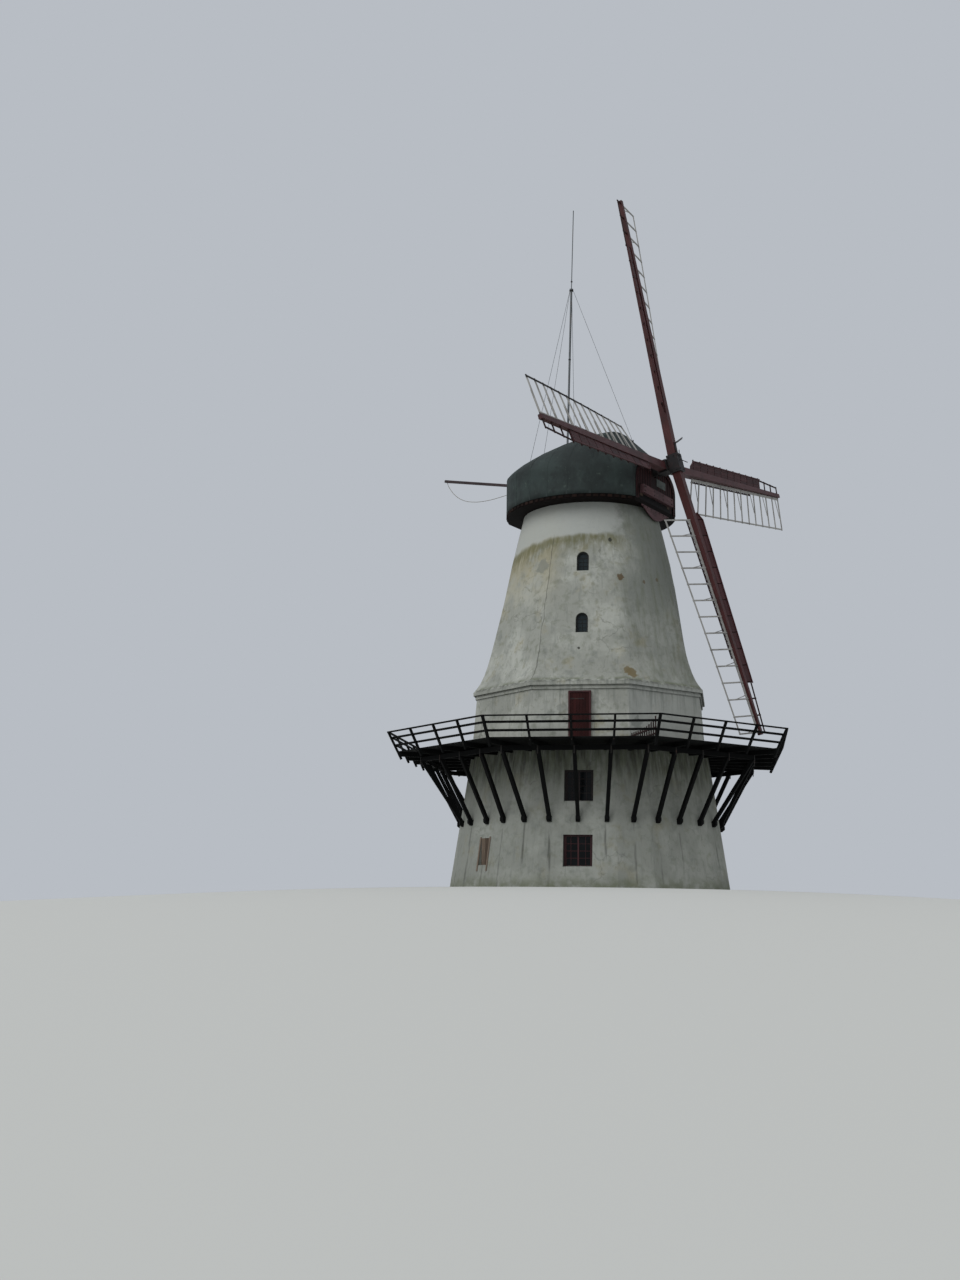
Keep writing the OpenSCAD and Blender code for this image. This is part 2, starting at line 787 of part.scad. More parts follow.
// Posts on the deck's corners, notched over them
module corner_posts() {
  slope = lean_slope * to_corner;
  color("black") below(post_top_z - seat_gap) difference() {
    for (k = [0 : 7]) at_side(k + 0.5)
      translate([0, -deck_apothem * to_corner, deck_z]) rotate([atan(slope), 0, 0])
        translate([-post_t * 0.6, -post_t * 0.8, -post_drop * 1.1])
          cube([post_t * 1.2, post_t * 1.4, rail_h * 3]);
    inside_railing(deck_z - 2 * post_drop, deck_z + 2 * rail_h, seat_gap);
  }
}

// One side of the railing: three leaning posts, two rails inside them and the handrail on top
module railing(k) {
  a0 = k * side_angle - half_side;
  long = 2 * rail_face_at(deck_z + rail_h) * tan(half_side) + 2 * handrail_w;
  top_face = rail_face_at(post_top_z);
  color("black") intersection() {
    union() {
      at_side(k) below(post_top_z)
        for (i = [1 : bays - 1]) {
          share = (i / bays - 0.5) * 2 * tan(half_side);
          translate([share * deck_apothem, -deck_apothem, deck_z]) rotate([lean_angle, 0, 0])
            rotate([0, atan(share * sin(lean_angle)), 0])
            translate([-post_t / 2, -post_t, -post_drop]) cube([post_t, post_t, rail_h * 2]);
        }
      at_side(k) translate([0, -deck_apothem, deck_z]) rotate([lean_angle, 0, 0])
        for (s = [0.24, 0.62]) translate([-long / 2, 0, s * rail_h / cos(lean_angle)])
          cube([long, rail_t, rail_face]);
      at_side(k) translate([-long / 2, -top_face - handrail_w * 0.8, post_top_z])
        cube([long, handrail_w, rail_t]);
    }
    wedge(a0, a0 + side_angle, 0, far);
  }
}

module railing_front() { railing(0); }
module railing_front_right() { railing(1); }
module railing_right() { railing(2); }
module railing_back_right() { railing(3); }
module railing_back() { railing(4); }
module railing_back_left() { railing(5); }
module railing_left() { railing(6); }
module railing_front_left() { railing(7); }

// Low fence across the gallery at its front right corner, rising in a curve towards the railing
module picket_fence() {
  inner = storey_apothem * to_corner;
  outer = rail_face_at(deck_z) * to_corner - rail_t * 2;
  step = (outer - inner) / floor((outer - inner) / picket_step);
  color("linen") at_side(0.5) {
    for (z = [picket_rail_h, picket_h - 2.4 * picket_rail_h])
      translate([-picket_rail_w / 2, -outer, deck_z + z]) cube([picket_rail_w, outer - inner, picket_rail_h]);
    for (y = [inner + step / 2 : step : outer]) translate([picket_rail_w / 2, -y - picket_w / 2, deck_z])
      cube([picket_t, picket_w, picket_h + picket_rise * pow((y - inner) / (outer - inner), 4)]);
  }
}

// Fixed timber ring that the cap turns on
module curb_ring() {
  color("saddlebrown") translate([0, 0, tower_top_z]) difference() {
    cylinder(h = curb_h, r = tower_top_r - curb_in, $fn = 96);
    translate([0, 0, -1]) cylinder(h = curb_h + 2, r = tower_top_r - tower_wall_t, $fn = 96);
  }
}

module in_cap() { rotate([0, 0, cap_yaw - 90]) children(); }
module on_shaft() { translate([hub_out, 0, hub_z]) rotate([0, -shaft_tilt, 0]) children(); }

// Half width of the cap's plan at distance u ahead of the axis
function plan_half(u, r) = sqrt(max(1, r * r - u * u));
// Height of the ridge above the eaves: it falls away in a curve behind and a hip in front
function ridge(u) = u < hip_u
  ? ridge_h - rear_fall * pow((hip_u - u) / (hip_u + cap_rear), 2.2)
  : ridge_h - front_fall * (u - hip_u) / (cap_front - hip_u);
// Height up to which the cap's sides stand upright
function shoulder(u) =
  shoulder_front + (shoulder_rear - shoulder_front) * (cap_front - u) / (cap_front + cap_rear);
// Height of the roof above the eaves at u ahead of the axis and v to the side
function roof_at(u, v) =
  shoulder(u) + (ridge(u) - shoulder(u)) * sqrt(1 - pow(v / plan_half(u, cap_r), 2));
function cap_section(u, r, t) = let(w = plan_half(u, r), s = shoulder(u) - t / 2, top = ridge(u) - t)
  concat([[u, w, -t]],
    [for (i = [0 : arch_steps]) let(a = 180 * i / arch_steps) [u, w * cos(a), s + (top - s) * sin(a)]],
    [[u, -w, -t]]);

// Solid with the cap's outline, inset by t and run past both ends by over
module cap_form(t, over) {
  r = cap_r - t;
  start = acos((-cap_rear - over) / r);
  end = acos((cap_front + over) / r);
  angles = [for (i = [0 : cap_steps]) start + (end - start) * i / cap_steps];
  rings = [for (a = angles) cap_section(r * cos(a), r, t)];
  m = len(rings[0]);
  last = cap_steps * m;
  faces = concat(
    [for (i = [0 : cap_steps - 1], j = [0 : m - 1]) let(p = i * m + j, q = i * m + (j + 1) % m) each
      [[p, p + m, q + m], [p, q + m, q]]],
    [for (j = [1 : m - 2]) [0, j, j + 1]],
    [for (j = [1 : m - 2]) [last, last + j + 1, last + j]]);
  translate([0, 0, eaves_z]) polyhedron(flat(rings), faces, convexity = 4);
}

module cap_roof() {
  color("darkslategray") in_cap() difference() {
    cap_form(0, 0);
    cap_form(roof_t, 20);
    translate([-far / 2, -far / 2, eaves_z - far]) cube([far, far, far]);
  }
}

// The cap's plan, moved in by inset all round
module cap_plan(inset) {
  intersection() {
    circle(r = cap_r - inset, $fn = 360);
    translate([-cap_rear + inset, -cap_r]) square([cap_rear + cap_front - 2 * inset, 2 * cap_r]);
  }
}

// Floor and edge boards under the eaves, set in under the middle of the roof's boards
module cap_skirt() {
  edge = roof_t / 2;
  color("maroon") in_cap() translate([0, 0, skirt_z]) difference() {
    linear_extrude(skirt_h) cap_plan(edge);
    translate([0, 0, skirt_t]) linear_extrude(skirt_h) cap_plan(edge + skirt_t);
    translate([0, 0, -1]) cylinder(h = skirt_h, r = soffit_r, $fn = 360);
    translate([-cap_rear * 0.75, -cap_r * 0.44, -1]) cube([soffit_gap, soffit_gap, skirt_t + 2]);
  }
}

// The two long timbers, from the rear boards through the front ones to the beams
module long_timbers() {
  clear_of_roof = plan_half(sheer_v + timber_w / 2, cap_r - roof_t - 10);
  start = -min(cap_rear - rear_inset - end_t, clear_of_roof);
  for (s = [-1, 1]) translate([start, s * sheer_v - timber_w / 2, sheer_z])
    cube([beam_u - start, timber_w, timber_h]);
}

// Bores for the shaft and its thin tail, as far as the tail's end
module shaft_bores() {
  on_shaft() rotate([0, -90, 0]) {
    cylinder(h = journal_x + bore_gap, d = shaft_d + 2 * bore_gap, $fn = 48);
    cylinder(h = journal_x + 2 * journal_len, d = journal_d + 2 * bore_gap, $fn = 48);
  }
}

// Turning ring, long and cross timbers, and the block that carries the windshaft's neck
module cap_frame() {
  color("saddlebrown") in_cap() difference() {
    union() {
      translate([0, 0, ring_z]) cylinder(h = ring_h, r = ring_r, $fn = 96);
      long_timbers();
      for (u = [neck_u, -tail_back]) translate([u - cross_w / 2, -sheer_v, sheer_z])
        cube([cross_w, 2 * sheer_v, timber_h]);
      translate([neck_u - cross_w / 2, -neck_half, sheer_z])
        cube([cross_w, 2 * neck_half, shaft_z(neck_u) - sheer_z]);
    }
    translate([0, 0, ring_z - 1]) cylinder(h = ring_h + 1, r = ring_r - ring_w, $fn = 96);
    shaft_bores();
  }
}

module cap_slice(u0, u1) {
  intersection() {
    cap_form(roof_t, 20);
    translate([u0, -far / 2, eaves_z]) cube([u1 - u0, far, far]);
  }
}

// Boards that close the front, cut round the shaft and the long timbers
module front_boards() {
  color("maroon") in_cap() difference() {
    cap_slice(cap_front - front_inset - end_t, cap_front - front_inset);
    on_shaft() rotate([0, -90, 0]) cylinder(h = hub_out, d = shaft_d + 2 * boards_gap, $fn = 48);
    long_timbers();
  }
}

module rear_boards() {
  color("maroon") in_cap() difference() {
    cap_slice(-cap_rear + rear_inset, -cap_rear + rear_inset + end_t);
    lever_form();
  }
}

// Two cross beams, one on the other, across the ends of the long timbers
module front_beams() {
  color("rosybrown") in_cap() for (z = [sheer_top + seat_gap, sheer_top - front_beam_h])
    translate([beam_u, -front_beam_half, z]) cube([beam_deep, 2 * front_beam_half, front_beam_h]);
}

// Shaped board that hangs under the front of the cap
module front_apron() {
  half = plan_half(cap_front, cap_r) - roof_t - apron_in;
  edge = apron_h * 0.09;
  steps = 24;
  hem = [for (i = [0 : steps]) let(s = 1 - 2 * i / steps)
    [half * s, -edge - (apron_h - edge) * pow(cos(90 * s), 1.4)]];
  color("rosybrown") in_cap() translate([cap_front - roof_t / 2 - apron_t, 0, skirt_z]) rotate([90, 0, 90])
    linear_extrude(apron_t) polygon(concat([[half, 0]], hem, [[-half, 0]]));
}

// Sloped timber that leaves the cap through its rear boards
module lever_form() {
  translate([-cap_rear + lever_in, 0, eaves_z + lever_at]) rotate([0, 180 + lever_slope, 0])
    translate([0, -lever_t / 2, -lever_t / 2]) cube([lever_in + lever_len, lever_t, lever_t]);
}

module brake_lever() { color("maroon") in_cap() lever_form(); }

// Route of the free rope from the lever's tip back to the cap, in the cap's plane, in millimetres
rope_route = [[-8240, 20330], [-8130, 20080], [-7990, 19860], [-7830, 19660], [-7640, 19480],
  [-7430, 19330], [-7200, 19210], [-6950, 19120], [-6690, 19060], [-6420, 19020], [-6150, 19000],
  [-5880, 19000], [-5610, 19010], [-5340, 19030], [-5080, 19060], [-4820, 19095], [-4560, 19130],
  [-4300, 19170], [-4050, 19215], [-3860, 19245], [-3600, 19285]];
rope_d = 28;

// Tube of eight sides along a route in the plane y = 0
module rope_tube(route, d) {
  n = len(route);
  sides = 8;
  function heading(i) = let(a = route[max(0, i - 1)], b = route[min(n - 1, i + 1)])
    atan2(b[1] - a[1], b[0] - a[0]);
  rings = [for (i = [0 : n - 1]) let(t = heading(i)) [for (j = [0 : sides - 1]) let(a = 360 * j / sides)
    [route[i][0] - d / 2 * cos(a) * sin(t), d / 2 * sin(a), route[i][1] + d / 2 * cos(a) * cos(t)]]];
  faces = concat(
    [for (i = [0 : n - 2], j = [0 : sides - 1]) let(p = i * sides + j, q = i * sides + (j + 1) % sides) each
      [[p, q + sides, p + sides], [p, q, q + sides]]],
    [for (j = [1 : sides - 2]) [0, j + 1, j]],
    [for (j = [1 : sides - 2]) let(e = (n - 1) * sides) [e, e + j, e + j + 1]]);
  polyhedron(flat(rings), faces, convexity = 4);
}

// Rope from the lever's underside to the outside of the rear boards
module brake_rope() {
  color("gray") in_cap() difference() {
    rope_tube(rope_route, rope_d);
    lever_form();
    translate([-cap_rear + rear_inset, -rope_d, eaves_z]) cube([cap_rear, 2 * rope_d, ridge_h]);
  }
}

// Two lengths of tube with a collar where the stays are held
collar_t = mast_d * 0.6;
module on_mast() {
  translate([-mast_back, 0, eaves_z + ridge(-mast_back)]) rotate([0, mast_lean, 0]) children();
}

module mast_form() {
  on_mast() {
    translate([0, 0, -3 * mast_d]) cylinder(h = collar_h + 3 * mast_d, d = mast_d, $fn = 24);
    cylinder(h = mast_h - ridge(-mast_back), d = mast_d * 0.45, $fn = 24);
    translate([0, 0, collar_h - collar_t]) cylinder(h = collar_t, d = mast_d * 1.8, $fn = 24);
  }
}

module mast() {
  color("dimgray") in_cap() difference() {
    mast_form();
    cap_form(0, 0);
  }
}

module rod(a, b, d) {
  v = b - a;
  long = norm(v);
  translate(a) rotate([0, acos(v[2] / long), atan2(v[1], v[0])]) cylinder(h = long, d = d, $fn = 8);
}

// Four taut stays from the collar's rim to the roof: rear, front and both sides
stay_feet = [[-cap_rear + rear_stay_in, 0], [cap_front - front_stay_in, 0],
  [-mast_back - side_stay_back, -side_stay_v], [-mast_back - side_stay_back, side_stay_v]];
module mast_stays() {
  rise = collar_h - collar_t / 2;
  top = [-mast_back + rise * sin(mast_lean), 0, eaves_z + ridge(-mast_back) + rise * cos(mast_lean)];
  color("gray") in_cap() difference() {
    for (foot = stay_feet) {
      away = foot - [-mast_back, 0];
      rim = mast_d * 0.75 * away / norm(away);
      rod([foot[0], foot[1], eaves_z + roof_at(foot[0], foot[1]) - 2 * roof_t],
        top + [rim[0], rim[1], 0], stay_d);
    }
    cap_form(0, 0);
    mast_form();
  }
}

module windshaft() {
  color("dimgray") in_cap() on_shaft() rotate([0, -90, 0]) {
    translate([0, 0, hub_back]) cylinder(h = journal_x - hub_back, d = shaft_d, $fn = 48);
    translate([0, 0, journal_x]) cylinder(h = journal_len, d = journal_d, $fn = 48);
  }
}

module on_sails() { in_cap() on_shaft() rotate([sail_turn, 0, 0]) children(); }
module on_arm(k) { on_sails() rotate([-90 * k, 0, 0]) children(); }

// Where the stocks begin to lean, and how far they have come forward and tapered at r
stock_bend = hub_half + hub_shell / 2;
function lean_at(r) = max(0, abs(r) - stock_bend) * tan(arm_lean);
function stock_half(r) = (stock_root -
  (stock_root - stock_tip) * max(0, abs(r) - stock_bend) / (sail_len - stock_bend)) / 2;

// Faces of a bar through n rings of four points
function bar_faces(n) = concat(
  [for (i = [0 : n - 2], j = [0 : 3]) let(p = i * 4 + j, q = i * 4 + (j + 1) % 4) each
    [[p, p + 4, q + 4], [p, q + 4, q]]],
  [[0, 1, 2], [0, 2, 3]],
  [let(e = (n - 1) * 4) [e, e + 2, e + 1], let(e = (n - 1) * 4) [e, e + 3, e + 2]]);

// Tapered timber through the hub, with its middle at x
module stock_form(x, turn) {
  rings = [for (r = [-sail_len, -stock_bend, stock_bend, sail_len]) let(h = stock_half(r), m = x + lean_at(r))
    [[m - h, -h, r], [m + h, -h, r], [m + h, h, r], [m - h, h, r]]];
  rotate([turn, 0, 0]) polyhedron(flat(rings), bar_faces(4), convexity = 4);
}

function bar_at(i) = first_bar + i * (sail_len - last_bar - first_bar) / (bars - 1);
function set_at(r) = set_tip + (set_root - set_tip) * pow((sail_len - r) / (sail_len - first_bar), 1.25);
// Reach of a bar ahead of the stock: the boards' width, then drawn in towards the tip
function lead_at(r) = r <= board_end ? board_reach
  : board_reach - (board_reach - tip_reach) * (r - board_end) / (sail_len - board_end);

module on_bar(x, i) {
  translate([x + lean_at(bar_at(i)), 0, bar_at(i)]) rotate([0, 0, set_at(bar_at(i))]) children();
}
// Distance from the arm's line, along its set, past the stock's side for a piece t thick
function beside_stock(r, t) = (stock_half(r) + t * sin(set_at(r))) / cos(set_at(r));

// Twisted strip along an arm, between y0 and y1 across and x0 and x1 through
module twisted_strip(x, stations, y0, y1, x0, x1) {
  n = len(stations);
  rings = [for (i = [0 : n - 1]) let(r = stations[i], b = set_at(r), m = x + lean_at(r), a = y0[i], c = y1[i])
    [for (p = [[x0, a], [x1, a], [x1, c], [x0, c]])
      [m + p[0] * cos(b) - p[1] * sin(b), p[0] * sin(b) + p[1] * cos(b), r]]];
  polyhedron(flat(rings), bar_faces(n), convexity = 4);
}

function same(v, n) = [for (i = [1 : n]) v];
// Place along the shaft of the stock that carries arm k
function arm_x(k) = k % 2 == 0 ? stock_gap / 2 : -stock_gap / 2;

module bars_form(x) {
  for (i = [0 : bars - 1]) let(lead = lead_at(bar_at(i))) on_bar(x, i)
    translate([-bar_t / 2, -lead, -bar_w / 2]) cube([bar_t, lead + lattice_reach, bar_w]);
}

// Bars through the stock, joined by an outer and an inner lath behind it and one ahead of it
module lattice(k) {
  x = arm_x(k);
  half = bar_t * 0.4;
  all = [for (i = [0 : bars - 1]) bar_at(i)];
  inner = [for (r = all) beside_stock(r, half) + lath_gap];
  outer = lattice_reach - bar_over;
  tip = [for (r = all) if (r > board_end - (all[1] - all[0])) r];
  lead = [for (r = tip) bar_over - lead_at(r)];
  color("whitesmoke") on_arm(k) {
    bars_form(x);
    twisted_strip(x, all, inner, [for (y = inner) y + inner_lath_w], -half, half);
    twisted_strip(x, all, same(outer - lath_w, bars), same(outer, bars), -half, half);
    twisted_strip(x, tip, lead, [for (y = lead) y + lath_w], -half, half);
  }
}

module sail_lattice_1() { lattice(0); }
module sail_lattice_2() { lattice(1); }
module sail_lattice_3() { lattice(2); }
module sail_lattice_4() { lattice(3); }

module outer_stock() {
  color("maroon") on_sails() difference() {
    stock_form(stock_gap / 2, 0);
    for (s = [0, 180]) rotate([s, 0, 0]) bars_form(stock_gap / 2);
  }
}

module inner_stock() {
  color("maroon") on_sails() difference() {
    stock_form(-stock_gap / 2, 90);
    for (s = [90, 270]) rotate([s, 0, 0]) bars_form(-stock_gap / 2);
  }
}

// Boards on the bars, from the stock to the leading edge
module sail_boards() {
  on_bars = [for (i = [0 : bars - 1]) if (bar_at(i) < board_end - bar_w) bar_at(i)];
  stations = concat([board_start], on_bars, [board_end]);
  n = len(stations);
  warp = abs(set_at(board_start) - set_at(board_end)) * PI / 180 / (board_end - board_start);
  back = bar_t / 2 + seat_gap + (warp * board_reach + tan(arm_lean)) * bar_w / 2;
  edge = concat([-board_root], same(-board_reach, n - 1));
  inner = [for (r = stations) -beside_stock(r, back + board_t) - board_gap];
  color("maroon") for (k = [0 : 3]) on_arm(k)
    twisted_strip(arm_x(k), stations, edge, inner, back, back + board_t);
}

// Strap on the front of the outer stock with two prongs, and a fork at the middle of the hub
module prongs() {
  strap_t = 1.2 * prong_d;
  strap_w = 4 * prong_d;
  face = (stock_gap + stock_root) / 2;
  translate([face - strap_t, -strap_w / 2, 0]) cube([2 * strap_t, strap_w, strap_end]);
  for (s = [-1, 1]) translate([face, s * prong_d, strap_end + (s - 1.5) * prong_d]) rotate([0, 75, 0])
    cylinder(h = strap_t + prong_len, d = prong_d, $fn = 12);
  for (a = [12, 130]) translate([hub_front - prong_d / 2, 0, hub_half / 3]) rotate([0, a, 0])
    cylinder(h = prong_len, d = prong_d, $fn = 12);
}

// Iron head with a socket for each stock
module sail_hub() {
  size = stock_root + 2 * hub_shell;
  color("dimgray") on_sails() difference() {
    union() {
      translate([0, -size / 2, -hub_half]) cube([hub_front, size, 2 * hub_half]);
      translate([-hub_front, -hub_half, -size / 2]) cube([hub_front, 2 * hub_half, size]);
      translate([-hub_back, 0, 0]) rotate([0, 90, 0])
        cylinder(h = collar_len + hub_shell / 2, d = shaft_d + collar_more, $fn = 48);
      prongs();
    }
    stock_form(stock_gap / 2, 0);
    stock_form(-stock_gap / 2, 90);
  }
}

// Draws one node, or all of them
ground_floor();
upper_floors();
lower_wall_front();
lower_wall_right();
lower_wall_back();
lower_wall_left();
tower_wall_front();
tower_wall_right();
tower_wall_back();
tower_wall_left();
lower_window_frames();
tower_window_frames();
window_glass();
door_frames();
gallery_doors();
ground_door();
wall_hatch();
gallery_deck();
gallery_joists();
ring_beam();
front_struts();
back_struts();
strut_shoes();
corner_posts();
railing_front();
railing_front_right();
railing_right();
railing_back_right();
railing_back();
railing_back_left();
railing_left();
railing_front_left();
picket_fence();
curb_ring();
cap_frame();
cap_skirt();
cap_roof();
front_boards();
rear_boards();
front_beams();
front_apron();
brake_lever();
brake_rope();
mast();
mast_stays();
windshaft();
sail_hub();
outer_stock();
inner_stock();
sail_boards();
sail_lattice_1();
sail_lattice_2();
sail_lattice_3();
sail_lattice_4();
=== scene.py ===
import json
import math
import random
import bmesh
import bpy
from mathutils import Matrix, Vector, noise

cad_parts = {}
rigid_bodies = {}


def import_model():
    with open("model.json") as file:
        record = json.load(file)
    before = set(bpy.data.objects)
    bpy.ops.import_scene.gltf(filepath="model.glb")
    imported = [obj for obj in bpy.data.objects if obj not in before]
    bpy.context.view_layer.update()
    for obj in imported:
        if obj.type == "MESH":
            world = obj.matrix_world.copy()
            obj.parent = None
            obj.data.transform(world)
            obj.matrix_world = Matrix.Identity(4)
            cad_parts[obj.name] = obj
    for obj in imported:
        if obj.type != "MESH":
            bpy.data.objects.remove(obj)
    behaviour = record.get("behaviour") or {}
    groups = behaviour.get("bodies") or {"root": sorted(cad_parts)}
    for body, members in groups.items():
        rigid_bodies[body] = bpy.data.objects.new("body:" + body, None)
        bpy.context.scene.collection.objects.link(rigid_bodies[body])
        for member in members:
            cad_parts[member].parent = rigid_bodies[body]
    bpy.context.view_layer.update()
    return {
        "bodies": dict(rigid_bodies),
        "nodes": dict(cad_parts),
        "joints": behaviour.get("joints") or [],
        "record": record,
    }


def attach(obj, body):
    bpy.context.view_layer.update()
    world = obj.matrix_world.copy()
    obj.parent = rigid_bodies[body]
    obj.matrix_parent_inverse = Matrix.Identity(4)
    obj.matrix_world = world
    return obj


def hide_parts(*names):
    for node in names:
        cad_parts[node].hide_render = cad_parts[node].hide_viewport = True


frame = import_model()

scene = bpy.context.scene
nodes = frame["nodes"]
rng = random.Random(11)
print("frame loaded:", len(nodes), "nodes")

# Places that the pieces share, in metres and degrees: Z is up and the front faces -Y
mill = {
    "sideAngle": 45.0, "halfSide": 22.5, "bays": 4, "deckTop": 6.0, "deckUnder": 5.95, "beamUnder": 5.57,
    "deckEdge": 8.23, "railLean": 0.48, "beamAxis": 7.2, "wallFoot": 6.16, "wallHead": 5.28,
    "wallHeight": 5.95, "storeyFoot": 5.14, "storeyHead": 4.96, "storeyHeight": 2.49, "towerFoot": 8.84,
    "towerHeight": 8.4, "towerTopRadius": 3.13, "batter": 0.237, "flareOut": 0.33, "flareLength": 0.52,
    "roundFrom": 0.12, "roundOver": 0.68, "eaves": 17.38, "capRadius": 3.96, "capFront": 3.4,
    "capRear": 3.75, "shoulder": 0.95, "shoulderRise": 0.75, "ridgeTop": 3.7, "ridgeAt": 1.8,
    "rearDrop": 1.5, "rearBow": 1.6, "frontDrop": 1.55, "rearPower": 0.8, "capYaw": 66.5, "shaftTilt": 11.3,
    "sailTurn": 7.5, "hubOut": 4.15, "hubHeight": 19.195, "stockGap": 0.5, "stockRoot": 0.38,
    "stockTip": 0.19, "stockBend": 0.4725, "armLean": 3.0, "sailLength": 12.9, "firstBar": 2.75,
    "lastBar": 0.12, "bars": 14, "barThick": 0.045, "tipSet": 7, "addedSet": 12, "boardReach": 0.65,
    "boardRoot": 0.38, "boardStart": 2.4, "boardEnd": 10.54,
}
eaves, capRadius, capFront, capRear = (mill[key] for key in ("eaves", "capRadius", "capFront", "capRear"))


def turned(axis, degrees):
    return Matrix.Rotation(math.radians(degrees), 4, axis)


def moved(x, y, z):
    return Matrix.Translation((x, y, z))


inCap = turned("Z", mill["capYaw"] - 90)
onShaft = inCap @ moved(mill["hubOut"], 0, mill["hubHeight"]) @ turned("Y", -mill["shaftTilt"])
onSails = onShaft @ turned("X", mill["sailTurn"])
lying = turned("Y", 90)  # a board's length runs along X
crosswise = turned("Z", 90)  # a board's width runs across the cap


def onArm(k):
    return onSails @ turned("X", -90 * k)


def atSide(k):
    return turned("Z", mill["sideAngle"] * k)


# Shapes that the walls, the cap and the sails follow
def wallFace(z):
    return mill["wallFoot"] - (mill["wallFoot"] - mill["wallHead"]) * z / mill["wallHeight"]


def storeyFace(z):
    share = (z - mill["deckUnder"]) / mill["storeyHeight"]
    return mill["storeyFoot"] - (mill["storeyFoot"] - mill["storeyHead"]) * share


def towerFace(z):
    # the middle of a side, which is flat at its foot and round at its top
    h = z - mill["towerFoot"]
    s = max(0, min(1, (h / mill["towerHeight"] - mill["roundFrom"]) / mill["roundOver"]))
    roundness = s * s * (3 - 2 * s)
    straight = mill["towerTopRadius"] + mill["batter"] * (mill["towerHeight"] - h)
    flat = math.cos(math.radians(mill["halfSide"]))
    flare = mill["flareOut"] * math.exp(-h / mill["flareLength"])
    return (straight + flare) * (roundness + (1 - roundness) * flat)


def towardsRear(u):
    # 0 at the cap's front end, 1 at its rear end
    return (capFront - u) / (capFront + capRear)


def capRidge(u):
    past = u - mill["ridgeAt"]
    if past < 0:
        return mill["ridgeTop"] - mill["rearDrop"] * (-past / (mill["ridgeAt"] + capRear)) ** mill["rearBow"]
    return mill["ridgeTop"] - mill["frontDrop"] * past / (capFront - mill["ridgeAt"])


def capShoulder(u):
    return mill["shoulder"] + mill["shoulderRise"] * towardsRear(u)


def sectionPower(u):
    # the roof's section is a half round at the front, and nearly straight-sided at the rear
    return 1 + mill["rearPower"] * towardsRear(u)


def roofHeight(u, v, inset=0.0):
    half = math.sqrt(max(0.001, (capRadius - inset) ** 2 - u * u))
    inside = max(0, 1 - (v / half) ** 2)
    return eaves + capShoulder(u) + (capRidge(u) - inset - capShoulder(u)) * inside ** (sectionPower(u) / 2)


def barAt(i):
    first, last = mill["firstBar"], mill["sailLength"] - mill["lastBar"]
    return first + i * (last - first) / (mill["bars"] - 1)


def setAt(r):
    share = max(0, (mill["sailLength"] - r) / (mill["sailLength"] - mill["firstBar"]))
    return math.radians(mill["tipSet"] + mill["addedSet"] * share ** 1.25)


def stockHalf(r):
    share = max(0, r - mill["stockBend"]) / (mill["sailLength"] - mill["stockBend"])
    return (mill["stockRoot"] + (mill["stockTip"] - mill["stockRoot"]) * share) / 2


def besideStock(r, thick=0.0):
    # distance across the sail, past the stock's side for a piece this far ahead of the sail's plane
    return (stockHalf(r) + thick * math.sin(setAt(r))) / math.cos(setAt(r))


def onSet(k, x, y, r):
    # a point of the twisted sail plane: x through it, y across it, r along the arm
    b = setAt(r)
    shift = mill["stockGap"] / 2 if k % 2 == 0 else -mill["stockGap"] / 2
    lean = max(0, r - mill["stockBend"]) * math.tan(math.radians(mill["armLean"]))
    through = shift + lean + x * math.cos(b) - y * math.sin(b)
    return onArm(k) @ Vector((through, x * math.sin(b) + y * math.cos(b), r))


# Materials
def linearColor(code):
    # sRGB hex to the linear values that Blender's sockets hold
    channels = [int(code[i:i + 2], 16) / 255 for i in (1, 3, 5)]
    return [c / 12.92 if c <= 0.04045 else ((c + 0.055) / 1.055) ** 2.4 for c in channels] + [1.0]


def addNode(tree, kind, settings, output=0):
    # settings are properties, or sockets by name or number; one given as (node, output) is linked
    node = tree.nodes.new("ShaderNode" + kind)
    for key, value in settings.items():
        if isinstance(value, tuple) and isinstance(value[0], bpy.types.Node):
            tree.links.new(value[0].outputs[value[1]], node.inputs[key])
        elif isinstance(key, int) or key in node.inputs:
            node.inputs[key].default_value = value
        else:
            setattr(node, key, value)
    return node, output


def perMetre(*sizes):
    # a Mapping node's scale, from a pattern's size along X, Y and Z in millimetres
    return tuple(1000 / size for size in sizes)


def newMaterial(name, roughness=0.8, specular=0.3, metallic=0.0):
    material = bpy.data.materials.new(name)
    material.use_nodes = True
    shader = material.node_tree.nodes["Principled BSDF"]
    for key, value in (("Roughness", roughness), ("Specular IOR Level", specular), ("Metallic", metallic)):
        shader.inputs[key].default_value = value
    return material


def objectPoints(tree, turn=None):
    # the object's own points in metres, turned into a piece's frame where its grain needs that
    points = addNode(tree, "TexCoord", {}, "Object")
    if turn is None:
        return points
    return addNode(tree, "Mapping", {"Vector": points, "Rotation": turn.to_3x3().inverted().to_euler()})


def layered(tree, color, layers):
    # A layer is its tint and strength, the noise that mottles it or None, and the fades that keep it in
    # its place. A noise is (points, size in mm, starts at, full at, detail): 1000 mm keeps the spacing of
    # stretched points. A fade is (value, none at, full at).
    for tint, strength, mottle, *fades in layers:
        if mottle:
            points, size, low, high, detail = mottle
            cloud = addNode(tree, "TexNoise", {
                "Vector": points, "Scale": 1000 / size, "Detail": detail, "Roughness": 0.6})
            fades.append((cloud, low, high))
        masks = [addNode(tree, "MapRange", {"interpolation_type": "SMOOTHSTEP", 0: value, 1: low, 2: high})
                 for value, low, high in fades]
        if strength != 1:
            masks.append(strength)
        mask = masks[0]
        for other in masks[1:]:
            mask = addNode(tree, "Math", {"operation": "MULTIPLY", 0: mask, 1: other})
        base = linearColor(color) if isinstance(color, str) else color
        color = addNode(tree, "Mix", {"data_type": "RGBA", 0: mask, 6: base, 7: linearColor(tint)}, 2)
    return color


